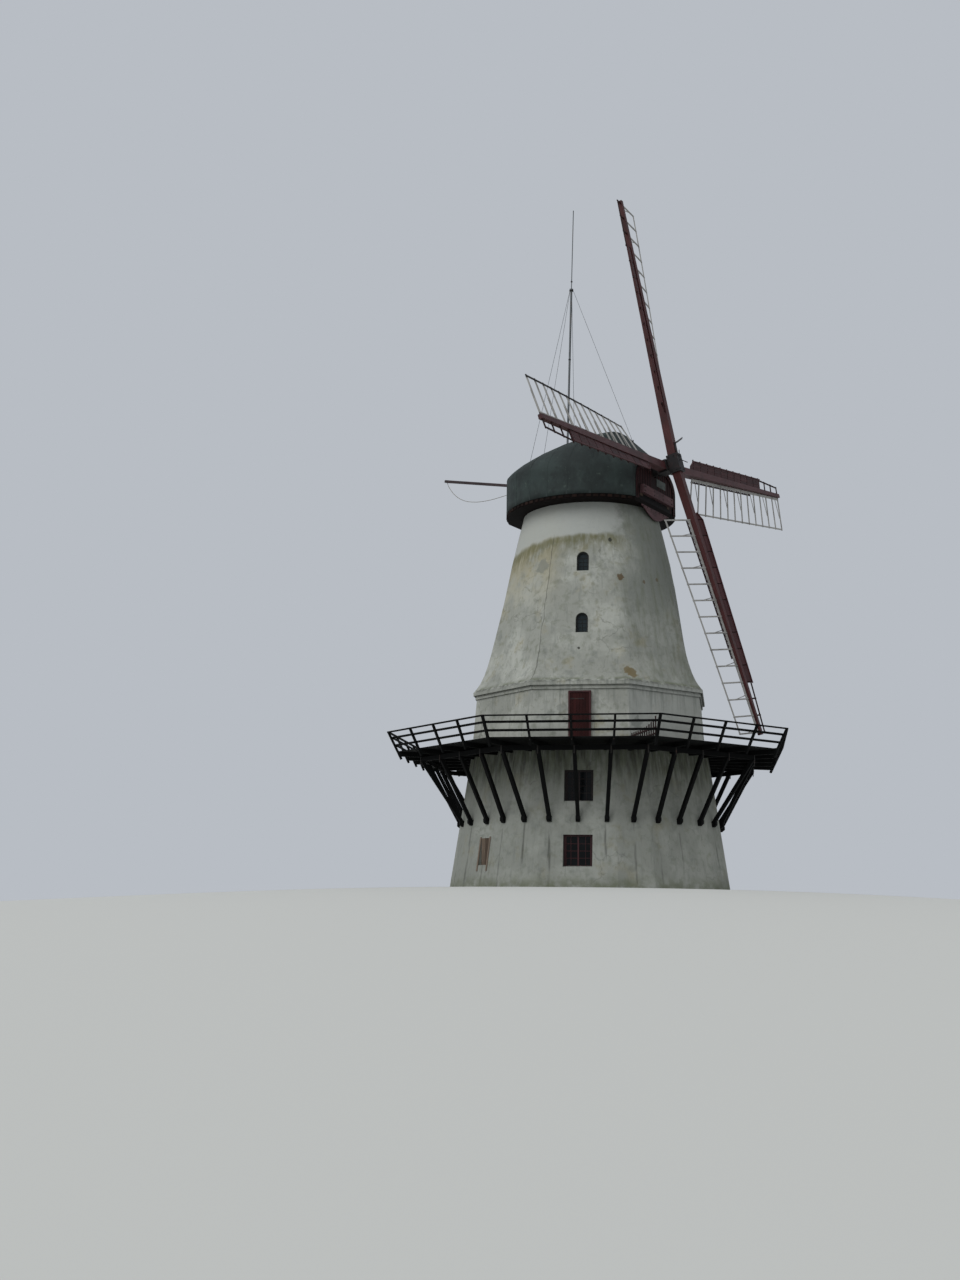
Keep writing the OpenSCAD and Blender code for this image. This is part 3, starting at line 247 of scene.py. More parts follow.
def finishMaterial(material, color, bumps):
    # each bump is its points, size in mm, detail, roughness and height in metres
    tree = material.node_tree
    shader = tree.nodes["Principled BSDF"]
    tree.links.new(color[0].outputs[color[1]], shader.inputs["Base Color"])
    below = {}
    for points, size, detail, roughness, height in bumps:
        relief = addNode(tree, "TexNoise", {
            "Vector": points, "Scale": 1000 / size, "Detail": detail, "Roughness": roughness})
        bump = addNode(tree, "Bump", {"Strength": 1.0, "Distance": height, "Height": relief, **below})
        below = {"Normal": bump}
    tree.links.new(bump[0].outputs[0], shader.inputs["Normal"])
    return material


renderLook = {
    "face": "#8C8E87", "pale": "#A0A29B", "warm": "#8E8669", "grey": "#6C706B", "green": "#5E6350",
    "brown": "#584A36", "dark": "#33342F", "topBand": "#9FA29E", "moss": "#5A5838", "spall": "#6A6048",
}


def limeRender(name, tower):
    # lime-washed render on brick: chalky and uneven, with dirt that rain has drawn down it
    material = newMaterial(name, roughness=0.92, specular=0.2)
    tree = material.node_tree
    points = objectPoints(tree)
    axes = addNode(tree, "SeparateXYZ", {0: points})[0]
    height, depth = (axes, "Z"), (axes, "Y")
    ahead = addNode(tree, "Math", {"operation": "MULTIPLY", 0: depth, 1: -1.0})
    turn = addNode(tree, "Math", {"operation": "ARCTAN2", 0: (axes, "X"), 1: ahead})
    azimuth = addNode(tree, "Math", {"operation": "DEGREES", 0: turn})
    streaky = addNode(tree, "Mapping", {"Vector": points, "Scale": perMetre(181.8, 181.8, 3125)})
    fine = addNode(tree, "Mapping", {"Vector": points, "Scale": perMetre(66.67, 66.67, 1250)})
    # hair cracks: the edges of crooked cells, in patches, drawn 10 mm wide so that they show
    bent = addNode(tree, "TexNoise", {"Vector": points, "Scale": 2.6, "Detail": 5.0}, "Color")
    pull = addNode(tree, "VectorMath", {"operation": "SCALE", 0: bent, "Scale": 0.5})
    crooked = addNode(tree, "VectorMath", {"operation": "ADD", 0: points, 1: pull})
    net = addNode(tree, "TexVoronoi", {"feature": "DISTANCE_TO_EDGE", "Vector": crooked, "Scale": 0.75})
    layers = [
        ("pale", 1, (points, 1818, 0.42, 0.62, 7)),
        ("warm", 0.55, (points, 1111, 0.55, 0.72, 5)),
        ("grey", 0.5, (points, 588.2, 0.54, 0.7, 8)),
        ("grey", 0.45, (streaky, 1000, 0.52, 0.75, 4)),
        ("green", 0.32, (points, 277.8, 0.5, 0.66, 8)),
        ("dark", 0.22, (fine, 1000, 0.56, 0.76, 4)),
        ("dark", 0.35, (points, 1667, 0.5, 0.6, 2), (net, 0.016, 0.004)),
    ]
    if tower:
        # the right side and the back right are greyer, most of all high up, and go patchy where they meet the
        # front and the left
        rough = addNode(tree, "TexNoise", {"Vector": points, "Scale": 0.42, "Detail": 6.0, "Roughness": 0.62})
        spread = addNode(tree, "Math", {"operation": "MULTIPLY_ADD", 0: rough, 1: 60.0, 2: azimuth})
        deeper = addNode(tree, "MapRange", {
            "interpolation_type": "SMOOTHSTEP", 0: height, 1: 10.5, 2: 14.5, 3: 0.42, 4: 0.84})
        weather, lee = ((spread, 46.0, 76.0), (spread, 205.0, 170.0)), (spread, 66.0, 54.0)
        # the band below the eaves has a brown edge that waves, and sinks towards the left
        wave = addNode(tree, "TexNoise", {"Vector": points, "Scale": 0.8, "Detail": 4.0})
        rise = addNode(tree, "Math", {"operation": "MULTIPLY_ADD", 0: wave, 1: 0.7, 2: 15.2})
        fall = addNode(tree, "MapRange", {
            "interpolation_type": "SMOOTHSTEP", 0: azimuth, 1: 5.0, 2: -75.0, 4: 0.45})
        edge = addNode(tree, "Math", {"operation": "SUBTRACT", 0: rise, 1: fall})
        above = addNode(tree, "Math", {"operation": "SUBTRACT", 0: height, 1: edge})
        # a thin dark line wanders along the arris between the front and the front left face
        half = math.radians(mill["halfSide"])
        arris = (math.cos(half), -math.sin(half), 0)
        aside = addNode(tree, "VectorMath", {"operation": "DOT_PRODUCT", 0: points, 1: arris}, "Value")
        wander = addNode(tree, "TexNoise", {"Vector": points, "Scale": 1.6, "Detail": 3.0})
        shift = addNode(tree, "Math", {"operation": "MULTIPLY_ADD", 0: wander, 1: 0.22, 2: -0.11})
        off = addNode(tree, "Math", {"operation": "ADD", 0: aside, 1: shift})
        line = addNode(tree, "Math", {"operation": "ABSOLUTE", 0: off})
        layers += [
            ("grey", deeper, None, *weather),
            ("green", 0.45, (streaky, 1250, 0.42, 0.7, 5), *weather),
            # rain has stained the front left face
            ("warm", 0.6, (points, 909.1, 0.3, 0.56, 5), (height, 11.6, 14.8), (azimuth, -8.0, -26.0)),
            ("topBand", 0.85, None, lee, (above, -0.1, 0.25)),
            ("moss", 0.62, (streaky, 769.2, 0.3, 0.6, 5), lee, (above, 0.22, -0.02), (above, -1.15, -0.1)),
            ("moss", 0.4, None, lee, (above, 0.16, 0.0), (above, -0.42, -0.12)),
            ("dark", 0.5, None, (line, 0.03, 0.008), (depth, -0.5, -1.0), (height, 15.9, 15.2)),
            ("green", 0.7, (points, 333.3, 0.35, 0.6, 4), (height, 9.0, 8.86)),
        ]
        spots = [((1.65, -3.62, 13.59), 0.24, "brown", 0.9), ((2.63, -2.91, 13.5), 0.13, "brown", 0.7),
                 ((3.17, -2.27, 13.72), 0.13, "brown", 0.7), ((2.19, -4.65, 9.13), 0.42, "spall", 0.95),
                 ((2.03, -4.73, 9.25), 0.3, "spall", 0.9), ((-1.82, -3.36, 14.24), 0.5, "grey", 0.6),
                 ((1.17, -3.38, 15.36), 0.14, "dark", 0.9), ((-0.11, -4.44, 10.3), 0.09, "dark", 0.9)]
    else:
        under = ((height, 3.6, 5.7), (height, 6.02, 5.98))
        # ragged streaks run down from the struts' feet, four to a side
        bay = addNode(tree, "Math", {"operation": "PINGPONG", 0: azimuth, 1: mill["halfSide"] / mill["bays"]})
        long = addNode(tree, "Mapping", {"Vector": points, "Scale": perMetre(1000, 1000, 3333)})
        ragged = addNode(tree, "TexNoise", {"Vector": long, "Scale": 2.2, "Detail": 4.0})
        beside = addNode(tree, "Math", {"operation": "MULTIPLY_ADD", 0: ragged, 1: 1.6, 2: bay})
        layers += [
            ("grey", 0.4, None, (height, 6.3, 5.9)),
            ("green", 0.85, (streaky, 833.3, 0.25, 0.65, 5), *under),
            ("dark", 0.75, (streaky, 1111, 0.35, 0.7, 5), *under),
            ("dark", 0.6, (streaky, 1429, 0.44, 0.66, 3), (beside, 1.75, 0.85), (height, 2.85, 2.6)),
            # painted light: the storey wall's front right face is painted paler, for the brighter light that
            # falls on it
            ("topBand", 0.6, None, (height, 5.9, 6.4), (height, 8.8, 8.7), (azimuth, 21.0, 24.0)),
            ("green", 0.75, (points, 416.7, 0.3, 0.62, 5), (height, 0.75, 0.05)),
            ("grey", 0.5, (streaky, 1000, 0.45, 0.7, 4), (height, 7.2, 8.4)),
            ("dark", 0.6, (points, 250, 0.35, 0.6, 4), (height, 8.7, 8.8)),
        ]
        spots = [((2.3, -4.65, 7.0), 0.5, "grey", 0.6), ((-0.75, -5.0, 7.6), 0.35, "grey", 0.4)]
    for place, size, tint, strength in spots:
        # a patch where the render has come off or been mended, with an uneven outline
        gap = addNode(tree, "VectorMath", {"operation": "DISTANCE", 0: points, 1: place}, "Value")
        uneven = addNode(tree, "TexNoise", {"Vector": points, "Scale": 2.4 / size, "Detail": 4.0})
        reach = addNode(tree, "Math", {"operation": "MULTIPLY_ADD", 0: uneven, 1: size, 2: gap})
        layers.append((tint, strength, None, (reach, size * 1.25, size * 1.05)))
    color = layered(tree, renderLook["face"], [(renderLook[tint], *rest) for tint, *rest in layers])
    # the float's waves, and the sand's grit, which is drawn 71 mm wide where the real one is about 5 mm
    bumps = [(points, 714.3, 3.0, 0.5, 0.05), (points, 71.43, 5.0, 0.7, 0.008)]
    return finishMaterial(material, color, bumps)


def timber(name, paint, worn, shadow, wear=0.5, roughness=0.7, turn=None, alongBoards=False, ahead=None,
           levels=(), specular=0.3, edge=None):
    # sawn softwood: its grain runs along Z of the turned frame, or along each board's own points
    material = newMaterial(name, roughness, specular)
    tree = material.node_tree
    if alongBoards:
        points = addNode(tree, "Attribute", {"attribute_name": "grain"}, "Vector")
    else:
        points = objectPoints(tree, turn)
    tone = addNode(tree, "Attribute", {"attribute_name": "tone"}, "Fac")
    # the grain, a few millimetres wide, is drawn 36 mm wide so that it shows
    fibres = addNode(tree, "Mapping", {"Vector": points, "Scale": perMetre(35.714, 35.714, 769.2)})
    layers = [
        (worn, wear, (fibres, 1000, 0.5, 0.72, 5)),
        (shadow, 0.55, (points, 769.2, 0.45, 0.68, 6)),
        (worn, wear * 0.7, (points, 322.58, 0.58, 0.7, 6)),
        (worn, 0.45, None, (tone, 0.1, 1.2)),
        (shadow, 0.6, None, (tone, -0.1, -1.2)),
    ]
    if levels:  # another paint above each of these heights
        height = (addNode(tree, "SeparateXYZ", {0: objectPoints(tree)})[0], "Z")
        layers += [(tint, 0.9, None, (height, level, level + 0.05)) for level, tint in levels]
    if ahead is not None:  # a sail's laths are dark red ahead of its stock
        frame = onArm(ahead).inverted()
        own = addNode(tree, "Mapping", {
            "Vector": objectPoints(tree), "Location": frame.translation, "Rotation": frame.to_euler()})
        across = (addNode(tree, "SeparateXYZ", {0: own})[0], "Y")
        layers.append(("#26120F", 1, None, (across, -0.03, -0.08)))
        if edge:  # and one sail's outermost lath is dark too
            layers.append((edge, 1, None, (across, 1.69, 1.71)))
    return finishMaterial(material, layered(tree, paint, layers), [(fibres, 1000, 4.0, 0.5, 0.006)])


def roofFelt():
    # tarred roofing felt: matt green-black, greyer where the grit has washed thin and the sky strikes it
    material = newMaterial("tarred_roofing_felt", roughness=0.78, specular=0.35)
    tree = material.node_tree
    points = objectPoints(tree)
    washed = addNode(tree, "Mapping", {"Vector": points, "Scale": perMetre(416.7, 416.7, 833.3)})
    color = layered(tree, "#1D2524", [
        ("#283331", 1, (points, 1429, 0.4, 0.66, 7)), ("#384441", 0.3, (washed, 1000, 0.5, 0.72, 7)),
        ("#161B1B", 0.6, (points, 476.2, 0.55, 0.7, 6)), ("#4C5A50", 0.4, (points, 200, 0.62, 0.72, 5)),
    ])
    # the felt's sag, and its grit, which is drawn 17 mm wide where the real one is 1 to 2 mm
    bumps = [(points, 909.1, 3.0, 0.5, 0.03), (points, 16.667, 2.0, 0.5, 0.003)]
    return finishMaterial(material, color, bumps)


def ironwork(name, base, rust, dark, roughness=0.6, metallic=0.25, amount=0.6):
    # forged or cast iron: rough, with rust where its paint has gone
    material = newMaterial(name, roughness, 0.4, metallic)
    points = objectPoints(material.node_tree)
    color = layered(material.node_tree, base, [
        (rust, amount, (points, 250, 0.5, 0.68, 6)), (dark, 0.6, (points, 625, 0.5, 0.7, 5))])
    return finishMaterial(material, color, [(points, 41.67, 5.0, 0.5, 0.004)])


def windowPane():
    # old drawn glass, painted near-black as painted shade for the dark room behind it: it shows the sky in a
    # wavy way
    material = newMaterial("drawn_window_glass", roughness=0.12, specular=0.14)
    tree = material.node_tree
    points = objectPoints(tree)
    height = (addNode(tree, "SeparateXYZ", {0: points})[0], "Z")
    # painted reflection: the tower's panes, above 10 m, are painted paler for the sky that they reflect
    color = layered(tree, "#080A0B", [
        ("#15191B", 1, (points, 1111, 0.4, 0.7, 4)), ("#2A3336", 0.9, None, (height, 10.0, 10.2)),
        ("#2C3236", 0.12, (points, 111.1, 0.6, 0.8, 3)),
    ])
    return finishMaterial(material, color, [(points, 312.5, 1.0, 0.5, 0.004)])


def hempRope():
    # laid hemp: its three strands are modelled, and the fibres go grey outdoors
    material = newMaterial("weathered_hemp", roughness=0.95, specular=0.1)
    points = objectPoints(material.node_tree)
    color = layered(material.node_tree, "#6E6A60", [
        ("#8D897D", 1, (points, 45.45, 0.4, 0.65, 5)), ("#47443D", 0.6, (points, 333.3, 0.55, 0.7, 4))])
    # yarns are drawn 6 mm wide, about three times the real ones
    return finishMaterial(material, color, [(points, 5.556, 2.0, 0.5, 0.001)])


wallRender = limeRender("lime_washed_render_lower", False)
towerRender = limeRender("lime_washed_render_tower", True)
tarredPine = timber("tarred_pine", "#070808", "#181919", "#030303", roughness=0.8, specular=0.12)
tarredBoards = timber("tarred_pine_boards", "#090A0A", "#1D1E1E", "#040404", wear=0.55, roughness=0.8,
                      specular=0.12, alongBoards=True)
redTimber = timber("oxide_red_painted_pine", "#3A1416", "#532A2B", "#1F0B0C", wear=0.4, roughness=0.6)
doorBoards = timber("oxide_red_painted_doors", "#2C0E0D", "#401B19", "#180706", wear=0.4, specular=0.15,
                    alongBoards=True)
redBoards = timber("oxide_red_painted_boards", "#3A1719", "#553032", "#1F0D0E", wear=0.45, roughness=0.62,
                   alongBoards=True)
# painted shade: the cap's skirt is painted near-black for the shade under the cap's overhang
soffitShadeTimber = timber("soffit_painted_shade", "#0E0908", "#1A1210", "#0A0605", wear=0.3, roughness=0.85,
                     specular=0.1)
# the eaves blocks are a near-black brown, as dark as the skirt
darkBlockBoards = timber("dark_eaves_blocks", "#1A110E", "#33241F", "#0C0807", wear=0.4, roughness=0.85,
                     specular=0.1, alongBoards=True)
# painted shade: the cap's front boards are near-black below 18.04 m for the shade in the recess between the
# front beam and the apron, and dark red above it
frontBoardsShaded = timber("cap_front_boards_painted_shade", "#0C0909", "#1A1312", "#050404", wear=0.4, specular=0.15,
                     levels=((18.04, "#211010"),))
outerStockWood = timber("painted_larch_outer_stock", "#3E1413", "#5A3334", "#220A0A", wear=0.45,
                        roughness=0.55, turn=onSails)
innerStockWood = timber("painted_larch_inner_stock", "#422021", "#62444A", "#261010", wear=0.45,
                        roughness=0.55, turn=onSails @ turned("X", 90))
leverTimber = timber("faded_red_oak_lever", "#33282A", "#54474A", "#1A1416", wear=0.6, roughness=0.75)
mauveTimber = timber("faded_red_oak_beams", "#4C3235", "#735A5E", "#29191A", wear=0.6,
                     turn=inCap @ turned("X", 90))
darkRedBoards = timber("oxide_red_painted_cleats", "#2A1514", "#3F2626", "#160B0B", wear=0.4,
                       alongBoards=True)
windowLevels = ((3.2, "#1A1210"), (10.0, "#1A1E1E"))
windowPaint = timber("window_frame_paint", "#2E1214", "#4A2B2B", "#180A0A", wear=0.4, roughness=0.55,
                     levels=windowLevels)
windowBars = timber("window_bar_paint", "#341215", "#4A2629", "#1C0B0C", wear=0.4, roughness=0.55,
                    alongBoards=True, levels=windowLevels)
lathColors = ("#8E8D8A", "#B3B2AE", "#5C5A57")
paleLath = timber("limewashed_pine_laths", *lathColors, roughness=0.85)
latticeLaths = [timber(f"limewashed_pine_lattice_{k + 1}", *lathColors, roughness=0.85, ahead=k,
                       edge="#2B2928" if k == 3 else None) for k in range(4)]
# painted shade: the pale pinkish pickets are painted a much darker red for the shadows in the gaps between
# them
picketWoodShaded = timber("red_pickets_painted_shade", "#2C1918", "#493231", "#1A0E0D", wear=0.4, roughness=0.8)
bareOak = timber("weathered_oak", "#43352A", "#625242", "#211812", wear=0.6, roughness=0.8)
hatchBoards = timber("weathered_larch_boards", "#57493C", "#82766A", "#322821", wear=0.6, roughness=0.85,
                     alongBoards=True)
felt = roofFelt()
castIron = ironwork("painted_cast_iron", "#151213", "#2C1817", "#0A090A", amount=0.5)
boltIron = ironwork("forged_iron_fastenings", "#242220", "#4A2C1E", "#121110", amount=0.8)
zincSteel = ironwork("galvanised_steel_tube", "#5C6062", "#6D5A4E", "#3C4042", roughness=0.45, metallic=0.6,
                     amount=0.35)
leadSheet = ironwork("weathered_lead_sheet", "#515755", "#46463F", "#2A2E2C", roughness=0.85, metallic=0.0,
                     amount=0.4)
pane = windowPane()
hemp = hempRope()
print("materials made:", len(bpy.data.materials))


# Camera, floor and light
view = {
    "place": (6.43, -67.74, -1.386), "lens": 56.04, "sensor": 36.0, "azimuth": 9.744, "pitch": 10.686,
    "roll": 0.714, "floor": "#C0C1BE", "sky": "#B8BDC4", "dome": "#F2F5F8", "fill": 0.78, "sun": 1.25,
    "floorSize": 110, "floorSteps": 120, "levelTo": 8.0, "fallsBy": 0.07,
}
camera = bpy.data.objects.new("camera", bpy.data.cameras.new("camera"))
camera.data.lens = view["lens"]
camera.data.sensor_width = view["sensor"]
camera.data.sensor_fit = "HORIZONTAL"
camera.data.clip_end = 400
camera.matrix_world = (moved(*view["place"]) @ turned("Z", view["azimuth"]) @ turned("X", 90 + view["pitch"])
                       @ turned("Z", view["roll"]))
scene.collection.objects.link(camera)
scene.camera = camera
scene.view_settings.view_transform = "Standard"


def meshOf(bm, name="part"):
    mesh = bpy.data.meshes.new(name)
    bm.to_mesh(mesh)
    bm.free()
    return mesh


bm = bmesh.new()
steps = view["floorSteps"]
bmesh.ops.create_grid(bm, x_segments=steps, y_segments=steps, size=view["floorSize"])
for vert in bm.verts:  # level round the walls, then it falls away
    past = max(0.0, vert.co.length - view["levelTo"])
    vert.co.z = -view["fallsBy"] * past * past / (past + view["levelTo"])
mesh = meshOf(bm, "mound")
mesh.shade_smooth()
plainFloor = newMaterial("plain_floor", roughness=0.95, specular=0.1)
plainFloor.node_tree.nodes["Principled BSDF"].inputs["Base Color"].default_value = linearColor(view["floor"])
mesh.materials.append(plainFloor)
mound = bpy.data.objects.new("mound", mesh)
scene.collection.objects.link(mound)

world = bpy.data.worlds.new("overcast")
world.use_nodes = True
scene.world = world
tree = world.node_tree
light = tree.nodes["Background"]
light.inputs["Color"].default_value = linearColor(view["dome"])
light.inputs["Strength"].default_value = view["fill"]
behind = addNode(tree, "Background", {"Color": linearColor(view["sky"])})
path = addNode(tree, "LightPath", {})[0]
seen = (path, "Is Camera Ray")
for kind in ("Is Glossy Ray", "Is Transmission Ray"):  # metal and glass show the same sky
    seen = addNode(tree, "Math", {"operation": "MAXIMUM", 0: seen, 1: (path, kind)})
mix = addNode(tree, "MixShader", {0: seen, 1: (light, 0), 2: behind})[0]
tree.links.new(mix.outputs[0], tree.nodes["World Output"].inputs["Surface"])
sun = bpy.data.objects.new("sun", bpy.data.lights.new("sun", "SUN"))
sun.data.energy = view["sun"]
sun.data.angle = math.radians(50)
sun.matrix_world = turned("Z", -38) @ turned("X", 52)
scene.collection.objects.link(sun)
print("camera, floor and light set")


# Shared ways of making pieces
def newShape():
    bm = bmesh.new()
    bm.verts.layers.float_vector.new("grain")
    bm.verts.layers.float.new("tone")
    return bm


def addBoard(bm, size, place, tone=None):
    # a sawn board: X wide, Y thick, Z along the grain, with its own points and tone for the material
    made = bmesh.ops.create_cube(bm, size=1)["verts"]
    grain, shade = bm.verts.layers.float_vector["grain"], bm.verts.layers.float["tone"]
    shift = Vector([rng.uniform(0, 9) for _ in range(3)])
    tone = rng.uniform(-1, 1) if tone is None else tone
    for vert in made:
        vert.co = Vector([vert.co[i] * size[i] for i in range(3)])
        vert[grain] = vert.co + shift
        vert[shade] = tone
    bmesh.ops.transform(bm, matrix=place, verts=made)
    return made


def eased(bm, offset):
    bmesh.ops.bevel(bm, geom=list(bm.edges), offset=offset, segments=1, profile=0.5, affect="EDGES",
                    material=-1)


def easedBox(size, edge):
    part = bmesh.new()
    bmesh.ops.create_cube(part, size=1, matrix=Matrix.Diagonal((*size, 1)))
    eased(part, edge)
    return part


def joined(bm, part, *places):
    # adds a finished shape to a bigger one, at one place or several
    for place in places:
        copy = part.copy()
        bmesh.ops.transform(copy, matrix=place, verts=copy.verts)
        mesh = meshOf(copy)
        bm.from_mesh(mesh)
        bpy.data.meshes.remove(mesh)
    part.free()


def finishPiece(name, bm, material, body, replaced=(), smooth=None, thickness=None):
    if thickness is None:
        bmesh.ops.recalc_face_normals(bm, faces=bm.faces)
    mesh = meshOf(bm, name)
    mesh.materials.append(material)
    if smooth:
        mesh.shade_smooth()
        mesh.set_sharp_from_angle(angle=math.radians(smooth))
    piece = bpy.data.objects.new(name, mesh)
    scene.collection.objects.link(piece)
    if thickness:  # a sheet that already faces out grows inwards
        solid = piece.modifiers.new("thickness", "SOLIDIFY")
        solid.thickness = thickness
        solid.offset = -1.0
    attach(piece, body)
    if replaced:
        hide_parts(*replaced)
    print(name, "made,", len(mesh.polygons), "faces")
    return piece


def facing(place, outward, spin=0.0):
    # Z of the returned frame points outward from the place
    return moved(*place) @ Vector(outward).to_track_quat("Z", "Y").to_matrix().to_4x4() @ turned("Z", spin)


def addRound(bm, wide, narrow, length, place, sides):
    # wide and narrow are the diameters at its lower and upper ends
    bmesh.ops.create_cone(bm, cap_ends=True, segments=sides, radius1=wide / 2, radius2=narrow / 2,
                          depth=length, matrix=place)


def rodBetween(bm, a, b, diameter, sides=8):
    a, b = Vector(a), Vector(b)
    addRound(bm, diameter, diameter, (b - a).length, facing((a + b) / 2, b - a), sides)


def boltShape(diameter, height):
    # six-sided nut on a round washer, standing on the plane Z = 0
    part = bmesh.new()
    addRound(part, 2 * diameter, 2 * diameter, height * 0.3, moved(0, 0, height * 0.15), 12)
    addRound(part, 1.1 * diameter, diameter, height * 0.7, moved(0, 0, height * 0.65), 6)
    return part


# Rope from the lever's tip back to the cap
rope = {
    "route": [(-8.24, 20.33), (-8.13, 20.08), (-7.99, 19.86), (-7.83, 19.66), (-7.64, 19.48),
              (-7.43, 19.33), (-7.20, 19.21), (-6.95, 19.12), (-6.69, 19.06), (-6.42, 19.02),
              (-6.15, 19.00), (-5.88, 19.00), (-5.61, 19.01), (-5.34, 19.03), (-5.08, 19.06),
              (-4.820, 19.095), (-4.56, 19.13), (-4.30, 19.17), (-4.050, 19.215), (-3.860, 19.245),
              (-3.69, 19.27)],
    "diameter": 0.028, "strand": 0.0078, "lay": 0.11, "strands": 3, "stepsPerTurn": 9,
}


def makeRope():
    path = [inCap @ Vector((u, 0, z)) for u, z in rope["route"]]
    lengths = [0.0]
    for first, second in zip(path, path[1:]):
        lengths.append(lengths[-1] + (second - first).length)
    steps = int(lengths[-1] / rope["lay"] * rope["stepsPerTurn"])
    curve = bpy.data.curves.new("strands", "CURVE")
    curve.dimensions = "3D"
    curve.bevel_depth = rope["strand"]
    curve.bevel_resolution = 1
    curve.use_fill_caps = True
    aside = (inCap.to_3x3() @ Vector((0, 1, 0))).normalized()
    off = rope["diameter"] / 2 - rope["strand"]
    for strand in range(rope["strands"]):
        spline = curve.splines.new("POLY")
        spline.points.add(steps)
        for i in range(steps + 1):
            s = lengths[-1] * i / steps
            j = max(k for k in range(len(lengths) - 1) if lengths[k] <= s + 1e-9)
            along = (path[j + 1] - path[j]).normalized()
            angle = 2 * math.pi * (s / rope["lay"] + strand / rope["strands"])
            point = path[j] + along * (s - lengths[j])
            point += off * (math.cos(angle) * aside + math.sin(angle) * along.cross(aside))
            spline.points[i].co = (*point, 1)
    maker = bpy.data.objects.new("strands", curve)
    scene.collection.objects.link(maker)
    mesh = bpy.data.meshes.new_from_object(maker.evaluated_get(bpy.context.evaluated_depsgraph_get()))
    bpy.data.objects.remove(maker)
    bm = bmesh.new()
    bm.from_mesh(mesh)
    bpy.data.meshes.remove(mesh)
    piece = finishPiece("brake_rope_strands", bm, hemp, "cap", ("brake_rope",), smooth=40)


makeRope()


# Gallery: deck boards, straps and bolts
gallery = {
    "inner": 5.145, "boardPitch": 0.146, "boardGap": 0.007, "boardThick": 0.048, "endGap": 0.006,
    "mitreGap": 0.004, "wholeBoards": 4, "beam": 0.17, "strapSize": (0.06, 0.008, 0.34), "strapUp": 0.02,
    "strapBolts": (0.13, -0.06), "postBolts": (-0.12, 0.26, 0.58), "postDeep": 0.093, "postSplay": 0.05,
    "bolt": (0.022, 0.02),
}


def baySlope(i):
    return (i / mill["bays"] - 0.5) * 2 * math.tan(math.radians(mill["halfSide"]))


def makeDeck():
    bm = newShape()
    thick, half = gallery["boardThick"], math.radians(mill["halfSide"])
    depth = mill["deckEdge"] - mill["railLean"] * (mill["deckTop"] - mill["deckUnder"]) - gallery["inner"]
    count = round(depth / gallery["boardPitch"])
    pitch = depth / count
    for k in range(8):
        side = newShape()
        for i in range(count):
            y = gallery["inner"] + (i + 0.5) * pitch
            reach = (y + pitch / 2) * math.tan(half)
            lift = rng.uniform(-0.002, 0.0)
            cuts = [-reach, reach]
            if i >= gallery["wholeBoards"]:  # long boards are butted over a joist
                cuts.insert(1, rng.uniform(-0.3, 0.3) * reach)
            for start, end in zip(cuts, cuts[1:]):
                addBoard(side, (thick, pitch - gallery["boardGap"], end - start - gallery["endGap"]),
                         moved((start + end) / 2, -y, mill["deckTop"] - thick / 2 + lift) @ lying)
        for s in (-1, 1):  # mitred against the next side
            cut = Vector((s * math.cos(half), math.sin(half), 0))
            bmesh.ops.bisect_plane(side, geom=[*side.verts, *side.edges, *side.faces],
                                   plane_co=cut * -gallery["mitreGap"], plane_no=cut, clear_outer=True)
            bmesh.ops.holes_fill(side, edges=side.edges)
        eased(side, 0.004)
        joined(bm, side, atSide(k))
    finishPiece("deck_boards", bm, tarredBoards, "tower", ("gallery_deck",))


def makeGalleryIron():
    bm, bolts, straps = bmesh.new(), [], []
    thick, under, edge = gallery["strapSize"][1], mill["beamUnder"], mill["deckEdge"]
    for k in range(8):
        for i in range(mill["bays"]):
            slope = baySlope(i)
            face = -mill["beamAxis"] * math.hypot(1, slope) - gallery["beam"] / 2 - thick
            spin = turned("Z", k * mill["sideAngle"] + math.degrees(math.atan(slope)))
            straps.append(spin @ moved(0, face + thick / 2, under + gallery["strapUp"]))
            bolts += [spin @ facing((0, face, under + z), (0, -1, 0), 17) for z in gallery["strapBolts"]]
            if i > 0:  # the side's own posts, bolted to the deck and rails
                for z in gallery["postBolts"]:
                    place = (slope * edge * (1 + gallery["postSplay"] * z),
                             -edge - mill["railLean"] * z - gallery["postDeep"], mill["deckTop"] + z)
                    bolts.append(atSide(k) @ facing(place, (0, -1, mill["railLean"]), 30))
    joined(bm, easedBox(gallery["strapSize"], 0.002), *straps)
    joined(bm, boltShape(*gallery["bolt"]), *bolts)
    finishPiece("gallery_bolts", bm, boltIron, "tower")


makeDeck()
makeGalleryIron()


# Windows: glazing bars, with the panes that the photo shows
windows = {
    "width": 1.22, "height": 1.33, "frame": 0.075, "inFrame": 0.185, "slimWidth": 0.54, "slimHeight": 0.9,
    "bar": 0.028, "barDeep": 0.042, "mullion": (0.07, 0.07), "stile": (0.045, 0.055), "transom": 0.045,
    "slimBar": 0.02, "sill": (0.05, 0.29, 1.24), "sillSlope": 9,
    "places": [(k, 0.88) for k in (0, 2, 6)] + [(k, 3.6) for k in (0, 2, 4, 6)],
    "slimPlaces": [(k, sill) for k in (0, 2, 4, 6) for sill in (11.02, 13.87)],
}


def windowPlaces(places, height, face):
    return [atSide(k) @ moved(0, windows["inFrame"] - face(sill + height), sill) for k, sill in places]


lowerPlaces = windowPlaces(windows["places"], windows["height"], wallFace)
towerPlaces = windowPlaces(windows["slimPlaces"], windows["slimHeight"], towerFace)


def setInWindows(name, part, edge, places):
    eased(part, edge)
    bm = newShape()
    joined(bm, part, *places)
    finishPiece(name, bm, windowBars, "tower")


